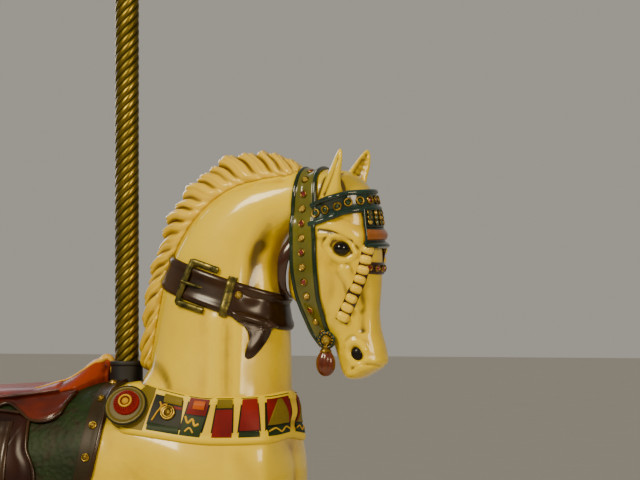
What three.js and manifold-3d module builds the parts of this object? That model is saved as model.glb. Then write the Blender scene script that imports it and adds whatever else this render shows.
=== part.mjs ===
// A carousel jumping horse on its twisted brass pole, with the deck flange and guide tube that the
// pole slides on and the bearing block that hangs it from the overhead crank.
// Millimetres, +Z up, the horse faces +X. The origin is under the deck flange, on the pole's axis.
// The horse stands at the middle of its rise and fall.

import * as THREE from 'three';
import { mergeVertices } from 'three/addons/utils/BufferGeometryUtils.js';
import Module from 'manifold-3d';

const wasm = await Module();
wasm.setup();

// Driving dimensions
const GAP = 0.3; // between pieces that touch
const POLE_RADIUS = 25;
const POLE_BORE = 21;
const POLE_BOTTOM = 300;
const POLE_TOP = 2640;
const GUIDE_RADIUS = 19.5;
const GUIDE_TOP = 900;
const FLANGE_RADIUS = 110;
const FLANGE_FLOOR = 6; // metal left under the guide tube
const HUB_RADIUS = 36;
const HUB_TOP = 62;
const CRANK_HEIGHT = 2700; // centre of the crank bearing
const CRANK_BORE = 22;
const WITHERS = 1215; // where the pole leaves the horse's back
const BELLY = 775;
const LEG_SPREAD = 98; // from the middle plane to the middle of a leg
const EYE = [494, 60, 1496];
const EYE_RADIUS = 19;
const BIT = [457, 1309];
const BIT_RADIUS = 19;
const DROP = { out: 48, below: 45, radii: [20, 15, 33] };
const CLOTH = 6; // saddle cloth thickness
const LEATHER = 7; // neck strap and saddle leather thickness
const HEADSTALL_THICKNESS = 9;
const BROWBAND_THICKNESS = 12;
const PLATE_THICKNESS = 9;
const PLATE_HALF_WIDTH = 42;
const NOSEBAND_THICKNESS = 8;
const LATCH_THICKNESS = 10;
const KEEPER_THICKNESS = LEATHER + 5;
const TIP_THICKNESS = LEATHER + 6;
const BUCKLE_THICKNESS = LEATHER + 7;
const COLLAR_THICKNESS = 8;
const BIT_THICKNESS = 14;
const ROSETTE_THICKNESS = 17;
const GIRTH_THICKNESS = 5;
const SIDE_START = 20; // pieces on one side only start this far from the middle plane
const SHOULDER_START = 60;
const SHANK_ROOT = 30; // how far a shank, a hoof and the tail run into what carries them
const HOOF_ROOT = 16;
const TAIL_ROOT = 50;
const FERRULE_WALL = 8;
const FERRULE_HEIGHT = 44;
const BUSH_LIP = 6;
const BUSH_LENGTH = 70;
const RUBBER_ABOVE = 48; // how far the withers collar stands over the withers
const RUBBER_BELOW = 40; // how far the belly collar hangs under the belly
const RUBBER_SUNK = 20;
const RUBBER_BEVEL = 5;
const RUBBER_RADIUS = POLE_RADIUS + 10;
const WIDE = 600; // further out than any piece

// Stations of the carved forms: front x, front z, back x, back z, half width, and the middle's y
const TORSO = [
  [362, 1105, 374, 1008, 92],
  [342, 1160, 350, 915, 126],
  [282, 1192, 288, 835, 158],
  [170, 1212, 180, 790, 176],
  [40, 1222, 45, 774, 184],
  [-100, 1204, -100, 778, 190],
  [-240, 1180, -245, 800, 192],
  [-380, 1186, -385, 842, 190],
  [-500, 1204, -500, 880, 184],
  [-610, 1180, -598, 925, 164],
  [-690, 1118, -672, 975, 120],
];
const NECK = [
  [372, 1130, 46, 1150, 142],
  [358, 1200, 52, 1215, 132],
  [356, 1275, 66, 1290, 118],
  [353, 1350, 80, 1370, 106],
  [341, 1415, 97, 1445, 95],
  [334, 1465, 124, 1512, 88],
  [340, 1500, 166, 1572, 82],
  [354, 1522, 224, 1618, 76],
  [376, 1535, 296, 1645, 69],
  [402, 1540, 372, 1656, 60],
  [430, 1545, 436, 1650, 50],
];
const HEAD = [
  [468, 1662, 400, 1650, 40],
  [506, 1642, 376, 1608, 58],
  [534, 1612, 368, 1568, 66],
  [545, 1572, 369, 1528, 70],
  [553, 1520, 367, 1484, 71],
  [556, 1465, 361, 1440, 66],
  [555, 1415, 366, 1400, 56],
  [552, 1370, 424, 1348, 46],
  [556, 1330, 454, 1311, 42],
  [566, 1293, 468, 1274, 43],
  [569, 1268, 476, 1247, 42],
  [558, 1247, 491, 1221, 32],
];
// Ear stations: place, broad half width and thin half width
const EAR = [
  [468, 50, 1582, 33, 31],
  [472, 57, 1610, 31, 23],
  [479, 66, 1640, 27, 15],
  [488, 74, 1664, 21, 10.5],
  [495, 79, 1684, 13, 7],
  [499, 82, 1699, 4, 3],
];
const EAR_TURN = THREE.MathUtils.degToRad(35); // the ears face forwards and this far inwards
const MANE = [
  [402, 1668, 396, 1632, 20],
  [354, 1688, 344, 1625, 30],
  [297, 1698, 292, 1612, 35],
  [237, 1690, 246, 1592, 38],
  [180, 1664, 204, 1560, 40],
  [130, 1620, 170, 1518, 42],
  [92, 1562, 144, 1472, 42],
  [66, 1500, 124, 1424, 42],
  [50, 1430, 108, 1366, 40],
  [40, 1360, 94, 1308, 36],
  [33, 1300, 82, 1262, 28],
  [36, 1258, 70, 1246, 14],
];
const TAIL = [
  [-672, 1156, -676, 1102, 24],
  [-738, 1168, -722, 1096, 34],
  [-806, 1120, -752, 1052, 42],
  [-846, 1020, -772, 982, 47],
  [-856, 900, -770, 886, 47],
  [-846, 790, -776, 786, 42],
  [-832, 706, -794, 706, 30],
  [-846, 640, -826, 648, 10],
];
const FORE_RAISED_UPPER = [
  [356, 1006, 214, 900, 56],
  [414, 940, 284, 820, 54],
  [460, 890, 361, 788, 42],
  [498, 858, 424, 770, 34],
  [528, 836, 474, 764, 33],
  [538, 812, 488, 760, 30],
];
const FORE_RAISED_LOWER = [
  [534, 802, 480, 752, 28],
  [522, 750, 470, 728, 26],
  [498, 694, 452, 688, 20],
  [474, 642, 428, 646, 20],
  [460, 602, 402, 612, 26],
  [436, 574, 388, 594, 21],
  [418, 552, 372, 578, 23],
];
const FORE_RAISED_HOOF = [
  [419, 549, 369, 577, 25],
  [414, 532, 356, 566, 29],
  [408, 512, 338, 554, 34],
];
const FORE_REACHING_UPPER = [
  [360, 990, 220, 870, 56],
  [404, 896, 290, 800, 52],
  [438, 830, 348, 760, 42],
  [464, 786, 400, 726, 34],
  [488, 752, 434, 700, 33],
  [496, 730, 446, 688, 30],
];
const FORE_REACHING_LOWER = [
  [494, 722, 440, 682, 28],
  [502, 680, 448, 664, 25],
  [506, 628, 460, 622, 20],
  [508, 576, 464, 574, 20],
  [516, 538, 460, 532, 26],
  [524, 508, 478, 496, 21],
  [538, 484, 492, 466, 23],
];
const FORE_REACHING_HOOF = [
  [541, 483, 491, 463, 25],
  [552, 468, 496, 444, 29],
  [566, 452, 498, 422, 34],
];
const HIND_TRAILING_UPPER = [
  [-430, 1000, -690, 1080, 66],
  [-462, 890, -704, 960, 74],
  [-528, 806, -706, 862, 56],
  [-596, 750, -722, 796, 41],
  [-648, 712, -744, 750, 33],
  [-676, 688, -760, 718, 30],
];
const HIND_TRAILING_LOWER = [
  [-678, 680, -760, 708, 28],
  [-704, 640, -770, 660, 26],
  [-734, 590, -784, 604, 20],
  [-758, 548, -806, 562, 20],
  [-774, 512, -830, 534, 26],
  [-800, 488, -844, 514, 21],
  [-824, 468, -862, 500, 23],
];
const HIND_TRAILING_HOOF = [
  [-824, 464, -864, 500, 25],
  [-838, 450, -882, 492, 29],
  [-854, 434, -904, 486, 34],
];
const HIND_GATHERED_UPPER = [
  [-430, 1000, -690, 1080, 66],
  [-446, 880, -692, 950, 74],
  [-482, 792, -672, 856, 56],
  [-532, 738, -666, 790, 41],
  [-574, 700, -676, 744, 33],
  [-600, 676, -686, 712, 30],
];
const HIND_GATHERED_LOWER = [
  [-600, 668, -686, 702, 28],
  [-612, 630, -676, 650, 26],
  [-614, 580, -662, 592, 20],
  [-608, 536, -656, 544, 20],
  [-598, 498, -656, 508, 26],
  [-590, 470, -634, 484, 21],
  [-574, 450, -618, 458, 23],
];
const HIND_GATHERED_HOOF = [
  [-571, 449, -620, 455, 25],
  [-562, 434, -622, 436, 29],
  [-552, 416, -626, 412, 34],
];
const SADDLE = [
  [-40, 1262, -54, 1160, 20],
  [-62, 1268, -72, 1150, 44],
  [-96, 1240, -100, 1140, 74],
  [-150, 1220, -150, 1130, 98],
  [-230, 1212, -230, 1125, 112],
  [-306, 1230, -302, 1125, 116],
  [-366, 1276, -352, 1130, 106],
  [-396, 1292, -384, 1140, 72],
];

// Straps seen from the side: x, z and width along the middle line
const HEADSTALL = [
  [416, 1700, 40],
  [414, 1648, 44],
  [413, 1570, 52],
  [412, 1500, 58],
  [415, 1440, 58],
  [420, 1393, 52],
  [434, 1333, 38],
  [450, 1306, 34],
];
const BROWBAND = [
  [425, 1560, 46],
  [440, 1566, 46],
  [497, 1587, 46],
  [545, 1594, 40],
  [600, 1597, 38],
];
const NOSEBAND = [
  [600, 1482, 26],
  [551, 1464, 26],
  [536, 1448, 25],
  [518, 1415, 24],
  [499, 1375, 24],
  [482, 1341, 22],
  [462, 1314, 20],
];
const THROAT_LATCH = [
  [408, 1600, 24],
  [395, 1552, 24],
  [379, 1520, 24],
  [366, 1486, 24],
  [360, 1448, 24],
  [357, 1415, 24],
  [357, 1385, 24],
];
// Half of the throat latch seen from the front: y and z, from the headstall down to the middle
const LATCH_BOW = [
  [60, 1600],
  [62, 1556],
  [67, 1520],
  [68, 1486],
  [63, 1448],
  [43, 1413],
  [21, 1399],
  [0, 1396],
];
const NECK_STRAP = [
  [20, 1478, 68],
  [100, 1448, 68],
  [190, 1420, 68],
  [280, 1391, 68],
  [400, 1352, 68],
];
const STRAP_KEEPER = [
  [271, 1440, 18],
  [251, 1354, 18],
];

// Outlines seen from the side
const FACE_PLATE = [
  [500, 1494],
  [620, 1494],
  [620, 1590],
  [500, 1590],
];
const BREAST_COLLAR = [
  [44, 1096],
  [480, 1096],
  [480, 1194],
  [62, 1194],
];
const SADDLE_CLOTH = [
  [14, 1300],
  [13, 1196],
  [12, 1130],
  [8, 1093],
  [0, 1047],
  [-14, 990],
  [-36, 938],
  [-70, 908],
  [-130, 896],
  [-240, 890],
  [-330, 896],
  [-400, 914],
  [-428, 950],
  [-440, 1040],
  [-440, 1300],
];
const SKIRT = [
  [-74, 1192],
  [-84, 1174],
  [-88, 1156],
  [-104, 1142],
  [-129, 1137],
  [-156, 1141],
  [-184, 1158],
  [-214, 1172],
  [-240, 1164],
  [-268, 1148],
  [-300, 1139],
  [-336, 1139],
  [-366, 1150],
  [-384, 1172],
  [-388, 1260],
  [-74, 1260],
];
const FENDER = [
  [-158, 1200],
  [-152, 1110],
  [-148, 1084],
  [-131, 1050],
  [-126, 1010],
  [-142, 972],
  [-174, 954],
  [-206, 949],
  [-238, 954],
  [-268, 972],
  [-284, 1010],
  [-278, 1060],
  [-268, 1110],
  [-264, 1200],
];
const BUCKLE = [
  [185, 1468],
  [243, 1449],
  [215, 1366],
  [154, 1384],
];
const BUCKLE_BAR = 10; // width of the buckle's frame
const BUCKLE_OPENING = [20, -6.5]; // how far the frame's opening runs on under the strap, x and z
const STRAP_TIP = [
  [240, 1392],
  [336, 1366],
  [350, 1350],
  [358, 1336],
  [345, 1331],
  [340, 1321],
  [331, 1302],
  [320, 1283],
  [310, 1272],
  [301, 1270],
  [297, 1275],
  [302, 1289],
  [304, 1308],
  [300, 1327],
  [287, 1345],
  [266, 1360],
  [254, 1368],
];
const ROSETTE = { at: [56, 1174], radius: 48 };
const GIRTH = { x: -84, width: 48, low: 600, high: 1000 };
const STIRRUP = { at: [-206, 222, 930], width: 116, height: 132, depth: 50, bar: 12, tread: 16 };
const STIRRUP_LEATHER = { width: 34, top: 1118 };

const paint = (color, roughness, metalness = 0) =>
  new THREE.MeshStandardMaterial({ color, roughness, metalness });
const IVORY = paint('#dcb848', 0.25);
const MANE_PAINT = paint('#d6ae3c', 0.3);
const HOOF_PAINT = paint('#4a3522', 0.35);
const BRASS = paint('#a87c2c', 0.3, 1);
const STEEL = paint('#8b8d8f', 0.35, 1);
const CAST_IRON = paint('#3a3b3d', 0.6, 0.8);
const RUBBER = paint('#101012', 0.6);
const NYLON = paint('#d8d2c0', 0.5);
const TEAL = paint('#2f4f42', 0.3);
const LEATHER_DARK = paint('#341c10', 0.35);
const LEATHER_RED = paint('#8c3718', 0.3);
const CLOTH_GREEN = paint('#26331c', 0.5);
const BRONZE = paint('#5d5226', 0.4, 0.8);
const GLASS = paint('#150a08', 0.05);
const BEAD = paint('#d9a83a', 0.3);
const TRIM = paint('#8a2015', 0.35);

// Turns a closed three.js geometry into a solid that can be joined and cut
function solid(geometry) {
  const bare = geometry.index ? geometry.toNonIndexed() : geometry.clone();
  bare.deleteAttribute('normal');
  bare.deleteAttribute('uv');
  const merged = mergeVertices(bare, 1e-3);
  const triangles = [];
  const index = merged.index.array;
  for (let i = 0; i < index.length; i += 3) {
    const [a, b, c] = index.slice(i, i + 3);
    if (a !== b && b !== c && a !== c) triangles.push(a, b, c);
  }
  const mesh = new wasm.Mesh({
    numProp: 3,
    vertProperties: new Float32Array(merged.attributes.position.array),
    triVerts: new Uint32Array(triangles),
  });
  const made = new wasm.Manifold(mesh);
  if (made.volume() > 0) return made;
  for (let i = 0; i < triangles.length; i += 3) {
    [triangles[i + 1], triangles[i + 2]] = [triangles[i + 2], triangles[i + 1]];
  }
  return new wasm.Manifold(
    new wasm.Mesh({ numProp: 3, vertProperties: mesh.vertProperties, triVerts: new Uint32Array(triangles) })
  );
}

// The finished piece: a named mesh with its own material
function piece(name, shape, material) {
  const data = shape.getMesh();
  const geometry = new THREE.BufferGeometry();
  geometry.setAttribute('position', new THREE.BufferAttribute(new Float32Array(data.vertProperties), 3));
  geometry.setIndex(new THREE.BufferAttribute(new Uint32Array(data.triVerts), 1));
  geometry.computeVertexNormals();
  const mesh = new THREE.Mesh(geometry, material);
  mesh.name = name;
  return mesh;
}

// A form carved between a front rail and a back rail, with rounded ends
function carved(stations, { around = 20, along = 18, power = 2.2, cap = 0.1, grow = 0, side = 0 } = {}) {
  const rail = (x, z) =>
    new THREE.CatmullRomCurve3(stations.map((s) => new THREE.Vector3(s[x], 0, s[z])));
  const front = rail(0, 1);
  const back = rail(2, 3);
  const spread = new THREE.CatmullRomCurve3(
    stations.map((s) => new THREE.Vector3(s[4], s[5] ?? Math.abs(side) * LEG_SPREAD, 0))
  );
  const bend = (value) => Math.sign(value) * Math.abs(value) ** (2 / power);
  const geometry = new THREE.SphereGeometry(1, around, along);
  const uv = geometry.attributes.uv;
  const position = geometry.attributes.position;
  for (let i = 0; i < position.count; i++) {
    const t = (1 - Math.cos(Math.PI * (1 - uv.getY(i)))) / 2;
    const angle = uv.getX(i) * 2 * Math.PI;
    const toEnd = Math.min(t, 1 - t) / cap;
    const dome = toEnd < 1 ? Math.sqrt(Math.max(0, 1 - (1 - toEnd) ** 2)) : 1;
    const f = front.getPoint(t);
    const b = back.getPoint(t);
    const w = spread.getPoint(t);
    const half = f.clone().sub(b).multiplyScalar(0.5);
    const reach = 1 + grow / half.length();
    const centre = f.clone().add(b).multiplyScalar(0.5);
    const nextTo = front.getPoint(Math.min(1, t + 0.01)).add(back.getPoint(Math.min(1, t + 0.01)));
    const before = front.getPoint(Math.max(0, t - 0.01)).add(back.getPoint(Math.max(0, t - 0.01)));
    const ahead = nextTo.sub(before).normalize().multiplyScalar(t < 0.5 ? -1 : 1);
    centre.addScaledVector(ahead, grow * (1 - dome));
    centre.addScaledVector(half, reach * dome * bend(Math.cos(angle)));
    const across = (w.x + grow) * dome * bend(Math.sin(angle));
    position.setXYZ(i, centre.x, Math.sign(side) * w.y + across, centre.z);
  }
  return solid(geometry);
}

// An ear: flat ovals along a curve, turned to face forwards and a little inwards
function leaf(side, around = 14, along = 12, cap = 0.08) {
  const places = new THREE.CatmullRomCurve3(EAR.map(([x, y, z]) => new THREE.Vector3(x, side * y, z)));
  const sizes = new THREE.CatmullRomCurve3(EAR.map((s) => new THREE.Vector3(s[3], s[4], 0)));
  const facing = new THREE.Vector3(Math.cos(EAR_TURN), -side * Math.sin(EAR_TURN), 0);
  const broad = new THREE.Vector3(-facing.y, facing.x, 0);
  const geometry = new THREE.SphereGeometry(1, around, along);
  const uv = geometry.attributes.uv;
  const position = geometry.attributes.position;
  for (let i = 0; i < position.count; i++) {
    const t = (1 - Math.cos(Math.PI * (1 - uv.getY(i)))) / 2;
    const angle = uv.getX(i) * 2 * Math.PI;
    const toEnd = Math.min(t, 1 - t) / cap;
    const dome = toEnd < 1 ? Math.sqrt(Math.max(0, 1 - (1 - toEnd) ** 2)) : 1;
    const size = sizes.getPoint(t);
    const point = places.getPoint(t);
    point.addScaledVector(broad, dome * size.x * Math.cos(angle));
    point.addScaledVector(facing, -dome * size.y * Math.sin(angle));
    position.setXYZ(i, point.x, point.y, point.z);
  }
  return solid(geometry);
}

// The same stations with the form's start run on into the piece that carries it
function rooted(stations, depth) {
  const [first, second] = stations;
  const middle = (s) => [(s[0] + s[2]) / 2, (s[1] + s[3]) / 2];
  const [x, z] = middle(first);
  const [x2, z2] = middle(second);
  const step = depth / Math.hypot(x - x2, z - z2);
  const start = first.slice();
  for (const i of [0, 2]) start[i] += (x - x2) * step;
  for (const i of [1, 3]) start[i] += (z - z2) * step;
  return [start, ...stations];
}

// A closed outline seen from the side, run through the horse from one side to the other
function through(points, right = -WIDE, left = WIDE) {
  const shape = new THREE.Shape(points.map(([x, z]) => new THREE.Vector2(x, z)));
  const geometry = new THREE.ExtrudeGeometry(shape, { depth: left - right, bevelEnabled: false });
  geometry.rotateX(Math.PI / 2);
  geometry.translate(0, left, 0);
  return solid(geometry);
}

// An outline seen from the front, run from the pole forwards
function lengthwise(points) {
  const shape = new THREE.Shape(points.map(([y, z]) => new THREE.Vector2(y, z)));
  const geometry = new THREE.ExtrudeGeometry(shape, { depth: WIDE, bevelEnabled: false });
  geometry.rotateX(Math.PI / 2);
  geometry.rotateZ(Math.PI / 2);
  return solid(geometry);
}

// The outline of a strap along its middle line
function strap(line, extra = 0, steps = 8) {
  const middle = new THREE.CatmullRomCurve3(line.map(([x, z, width]) => new THREE.Vector3(x, width, z)));
  const left = [];
  const right = [];
  for (let i = 0; i <= steps; i++) {
    const p = middle.getPoint(i / steps);
    const t = middle.getTangent(i / steps);
    const length = Math.hypot(t.x, t.z);
    const half = p.y / 2 + extra;
    left.push([p.x - (t.z / length) * half, p.z + (t.x / length) * half]);
    right.unshift([p.x + (t.z / length) * half, p.z - (t.x / length) * half]);
  }
  return [...left, ...right];
}

// A closed outline moved outwards by a distance
function widened(points, distance) {
  const area = points.reduce((sum, [x, z], i) => {
    const [x2, z2] = points[(i + 1) % points.length];
    return sum + x * z2 - x2 * z;
  }, 0);
  const outward = area > 0 ? distance : -distance;
  return points.map(([x, z], i) => {
    const [x1, z1] = points.at(i - 1);
    const [x2, z2] = points[(i + 1) % points.length];
    const first = new THREE.Vector2(z - z1, x1 - x).normalize();
    const second = new THREE.Vector2(z2 - z, x - x2).normalize();
    const mean = first.add(second).normalize();
    return [x + mean.x * outward, z + mean.y * outward];
  });
}

function circle([x, z], radius, sides = 16) {
  return Array.from({ length: sides }, (_, i) => {
    const angle = (i / sides) * 2 * Math.PI;
    return [x + radius * Math.cos(angle), z + radius * Math.sin(angle)];
  });
}

// A turned piece on the pole's axis, from a closed profile of radius and height
function turned(profile, sides = 20) {
  const geometry = new THREE.LatheGeometry(
    profile.map(([r, z]) => new THREE.Vector2(r, z)),
    sides
  );
  geometry.rotateX(Math.PI / 2);
  return solid(geometry);
}

function ball([x, y, z], [rx, ry, rz], around = 12, along = 8) {
  const geometry = new THREE.SphereGeometry(1, around, along);
  geometry.scale(rx, ry, rz);
  geometry.translate(x, y, z);
  return solid(geometry);
}

function block(low, high) {
  const geometry = new THREE.BoxGeometry(high[0] - low[0], high[1] - low[1], high[2] - low[2]);
  geometry.translate((low[0] + high[0]) / 2, (low[1] + high[1]) / 2, (low[2] + high[2]) / 2);
  return solid(geometry);
}

// Everything on one side of the horse, from a distance out
const onRight = (inner) => block([-2 * WIDE, -WIDE, 0], [2 * WIDE, -inner, 2 * POLE_TOP]);
const onLeft = (inner) => block([-2 * WIDE, inner, 0], [2 * WIDE, WIDE, 2 * POLE_TOP]);
const onSide = (side, inner) => (side < 0 ? onRight(inner) : onLeft(inner));
// The room taken by the pole, with as much more as the pieces around it need
const poleSpace = (extra = 0) => {
  const radius = POLE_RADIUS + GAP + extra;
  return turned([[0, POLE_BOTTOM - 50], [radius, POLE_BOTTOM - 50], [radius, POLE_TOP], [0, POLE_TOP]]);
};

// The carved body, grown outwards by a distance where something lies on it
const torso = (grow = 0) => carved(TORSO, { around: 20, along: 14, power: 2.25, cap: 0.09, grow });
const neck = (grow = 0) => carved(NECK, { around: 16, along: 12, power: 2.1, cap: 0.04, grow });
const head = (grow = 0) => carved(HEAD, { around: 16, along: 14, power: 2.4, cap: 0.05, grow });
const headAndNeck = (grow) => head(grow).add(neck(grow));
const body = (grow) => torso(grow).add(neck(grow));

// A layer of leather, cloth or carving on a form, inside an outline
function layer(outline, form, thickness, lift = GAP) {
  return through(outline).intersect(form(thickness).subtract(form(lift)));
}

// The space that such a layer keeps free for itself
function layerSpace(outline, form, thickness) {
  return through(outline).intersect(form(thickness + GAP));
}

const parts = [];

// Deck flange, guide tube, pole and crank bearing
function addPole() {
  const flange = turned([
    [0, 0],
    [FLANGE_RADIUS, 0],
    [FLANGE_RADIUS, 10],
    [FLANGE_RADIUS - 5, 14],
    [HUB_RADIUS + 8, 20],
    [HUB_RADIUS, 30],
    [HUB_RADIUS, HUB_TOP - 4],
    [HUB_RADIUS - 4, HUB_TOP],
    [GUIDE_RADIUS + GAP, HUB_TOP],
    [GUIDE_RADIUS + GAP, FLANGE_FLOOR],
    [0, FLANGE_FLOOR],
  ]);
  const guide = turned([
    [0, FLANGE_FLOOR + GAP],
    [GUIDE_RADIUS, FLANGE_FLOOR + GAP],
    [GUIDE_RADIUS, GUIDE_TOP - 4],
    [GUIDE_RADIUS - 4, GUIDE_TOP],
    [0, GUIDE_TOP],
  ]);
  const pole = turned([
    [POLE_BORE, POLE_BOTTOM],
    [POLE_RADIUS, POLE_BOTTOM],
    [POLE_RADIUS, POLE_TOP],
    [POLE_BORE, POLE_TOP],
    [POLE_BORE, POLE_BOTTOM],
  ]);
  const ferrule = turned([
    [POLE_RADIUS + GAP, POLE_BOTTOM + 1],
    [POLE_RADIUS + FERRULE_WALL - 2, POLE_BOTTOM + 1],
    [POLE_RADIUS + FERRULE_WALL, POLE_BOTTOM + 10],
    [POLE_RADIUS + FERRULE_WALL, POLE_BOTTOM + FERRULE_HEIGHT - 10],
    [POLE_RADIUS + FERRULE_WALL / 2, POLE_BOTTOM + FERRULE_HEIGHT],
    [POLE_RADIUS + GAP, POLE_BOTTOM + FERRULE_HEIGHT],
    [POLE_RADIUS + GAP, POLE_BOTTOM + 1],
  ]);
  const bushing = turned([
    [GUIDE_RADIUS + GAP, POLE_BOTTOM - BUSH_LIP],
    [POLE_RADIUS, POLE_BOTTOM - BUSH_LIP],
    [POLE_RADIUS, POLE_BOTTOM - GAP],
    [POLE_BORE - GAP, POLE_BOTTOM - GAP],
    [POLE_BORE - GAP, POLE_BOTTOM + BUSH_LENGTH],
    [GUIDE_RADIUS + GAP, POLE_BOTTOM + BUSH_LENGTH],
    [GUIDE_RADIUS + GAP, POLE_BOTTOM - BUSH_LIP],
  ]);
  parts.push(
    piece('pole_bushing', bushing, NYLON),
    piece('deck_flange', flange, CAST_IRON),
    piece('guide_tube', guide, STEEL),
    piece('pole', pole, BRASS),
    piece('pole_ferrule', ferrule, BRASS)
  );

  const socket = turned([
    [0, POLE_TOP + GAP],
    [POLE_RADIUS + GAP, POLE_TOP + GAP],
    [POLE_RADIUS + GAP, POLE_TOP - 80],
    [POLE_RADIUS + 9, POLE_TOP - 80],
    [POLE_RADIUS + 9, CRANK_HEIGHT],
    [0, CRANK_HEIGHT],
  ]);
  const across = new THREE.CylinderGeometry(45, 45, 64, 20);
  across.translate(0, 0, CRANK_HEIGHT);
  const bore = new THREE.CylinderGeometry(CRANK_BORE, CRANK_BORE, 80, 20);
  bore.translate(0, 0, CRANK_HEIGHT);
  parts.push(piece('crank_bearing', socket.add(solid(across)).subtract(solid(bore)), CAST_IRON));
}

// Carved horse: trunk, neck, head, ears, mane, tail and glass eyes
function addBody() {
  const sockets = [-1, 1].map((side) =>
    ball([EYE[0], side * EYE[1], EYE[2]], [EYE_RADIUS + GAP, EYE_RADIUS + GAP, EYE_RADIUS + GAP])
  );
  const trunk = torso().subtract(poleSpace());
  const crest = neck().subtract(torso(GAP)).subtract(head(GAP)).subtract(poleSpace());
  const skull = sockets.reduce((form, socket) => form.subtract(socket), head());
  const mane = carved(MANE, { around: 10, along: 16, power: 2, cap: 0.06 })
    .subtract(headAndNeck(GAP))
    .subtract(torso(GAP))
    .subtract(layerSpace(strap(HEADSTALL, GAP), headAndNeck, HEADSTALL_THICKNESS))
    .subtract(poleSpace(GAP));
  const tail = carved(rooted(TAIL, TAIL_ROOT), { around: 10, along: 12, cap: 0.08 }).subtract(torso(GAP));
  parts.push(
    piece('torso', trunk, IVORY),
    piece('neck', crest, IVORY),
    piece('head', skull, IVORY),
    piece('mane', mane, MANE_PAINT),
    piece('tail', tail, MANE_PAINT)
  );
  for (const [name, side] of [['right', -1], ['left', 1]]) {
    const ear = leaf(side);
    const browSpace = layerSpace(strap(BROWBAND, GAP), head, BROWBAND_THICKNESS);
    const cheekSpace = layerSpace(strap(HEADSTALL, GAP), headAndNeck, HEADSTALL_THICKNESS);
    parts.push(
      piece(`ear_${name}`, ear.subtract(head(GAP)).subtract(browSpace).subtract(cheekSpace), IVORY),
      piece(`eye_${name}`, ball([EYE[0], side * EYE[1], EYE[2]], [EYE_RADIUS, EYE_RADIUS, EYE_RADIUS]), GLASS)
    );
  }
}

// Legs: an upper block that is glued to the trunk, the shank with its fetlock, and the hoof
function addLegs() {
  const legs = [
    ['fore_right', -1, FORE_RAISED_UPPER, FORE_RAISED_LOWER, FORE_RAISED_HOOF],
    ['fore_left', 1, FORE_REACHING_UPPER, FORE_REACHING_LOWER, FORE_REACHING_HOOF],
    ['hind_right', -1, HIND_TRAILING_UPPER, HIND_TRAILING_LOWER, HIND_TRAILING_HOOF],
    ['hind_left', 1, HIND_GATHERED_UPPER, HIND_GATHERED_LOWER, HIND_GATHERED_HOOF],
  ];
  for (const [name, side, upper, lower, hoof] of legs) {
    const thigh = (grow) => carved(upper, { around: 12, along: 9, cap: 0.08, side, grow });
    const shankStations = rooted(lower, SHANK_ROOT);
    const shank = (grow) => carved(shankStations, { around: 10, along: 11, cap: 0.05, side, grow });
    const foot = carved(rooted(hoof, HOOF_ROOT), { around: 12, along: 5, cap: 0.02, side });
    parts.push(
      piece(`${name}_upper_leg`, thigh(0).subtract(torso(GAP)), IVORY),
      piece(`${name}_lower_leg`, shank(0).subtract(thigh(GAP)), IVORY),
      piece(`${name}_hoof`, foot.subtract(shank(GAP)), HOOF_PAINT)
    );
  }
}

// Bridle: headstall, browband, face plate, beaded noseband, bit rosettes, drop and throat latch
function addBridle() {
  const bitSpace = through(circle(BIT, BIT_RADIUS + GAP));
  const middle = (half) => block([0, -half, 0], [WIDE, half, POLE_TOP]);
  const headstallSpace = layerSpace(strap(HEADSTALL, GAP), headAndNeck, HEADSTALL_THICKNESS);
  const browSpace = layerSpace(strap(BROWBAND, GAP), head, BROWBAND_THICKNESS);
  const plateSpace = layerSpace(widened(FACE_PLATE, GAP), head, PLATE_THICKNESS)
    .intersect(middle(PLATE_HALF_WIDTH + GAP));
  const headstall = layer(strap(HEADSTALL), headAndNeck, HEADSTALL_THICKNESS).subtract(bitSpace);
  const browband = layer(strap(BROWBAND), head, BROWBAND_THICKNESS).subtract(headstallSpace);
  const plate = layer(FACE_PLATE, head, PLATE_THICKNESS)
    .subtract(browSpace)
    .intersect(middle(PLATE_HALF_WIDTH));
  const noseband = layer(strap(NOSEBAND), head, NOSEBAND_THICKNESS)
    .subtract(bitSpace)
    .subtract(plateSpace)
    .subtract(headstallSpace);
  const bow = [...LATCH_BOW, ...LATCH_BOW.slice(0, -1).reverse().map(([y, z]) => [-y, z])];
  const latch = through(strap(THROAT_LATCH))
    .intersect(lengthwise(bow).subtract(lengthwise(widened(bow, -LATCH_THICKNESS))))
    .subtract(headAndNeck(GAP))
    .subtract(headstallSpace)
    .subtract(layerSpace(widened(strap(NECK_STRAP), GAP), neck, LEATHER));
  parts.push(
    piece('headstall', headstall, TEAL),
    piece('browband', browband, TEAL),
    piece('face_plate', plate, TEAL),
    piece('noseband', noseband, BEAD),
    piece('throat_latch', latch, LEATHER_DARK)
  );
  for (const [name, side] of [['right', -1], ['left', 1]]) {
    const half = onSide(side, SIDE_START);
    const rosette = layer(circle(BIT, BIT_RADIUS), head, BIT_THICKNESS).intersect(half);
    parts.push(piece(`bit_rosette_${name}`, rosette, BRONZE));
  }
  const drop = ball([BIT[0], -DROP.out, BIT[1] - DROP.below], DROP.radii);
  parts.push(piece('bit_drop', drop.subtract(bitSpace).subtract(head(GAP)), TRIM));
}

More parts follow.
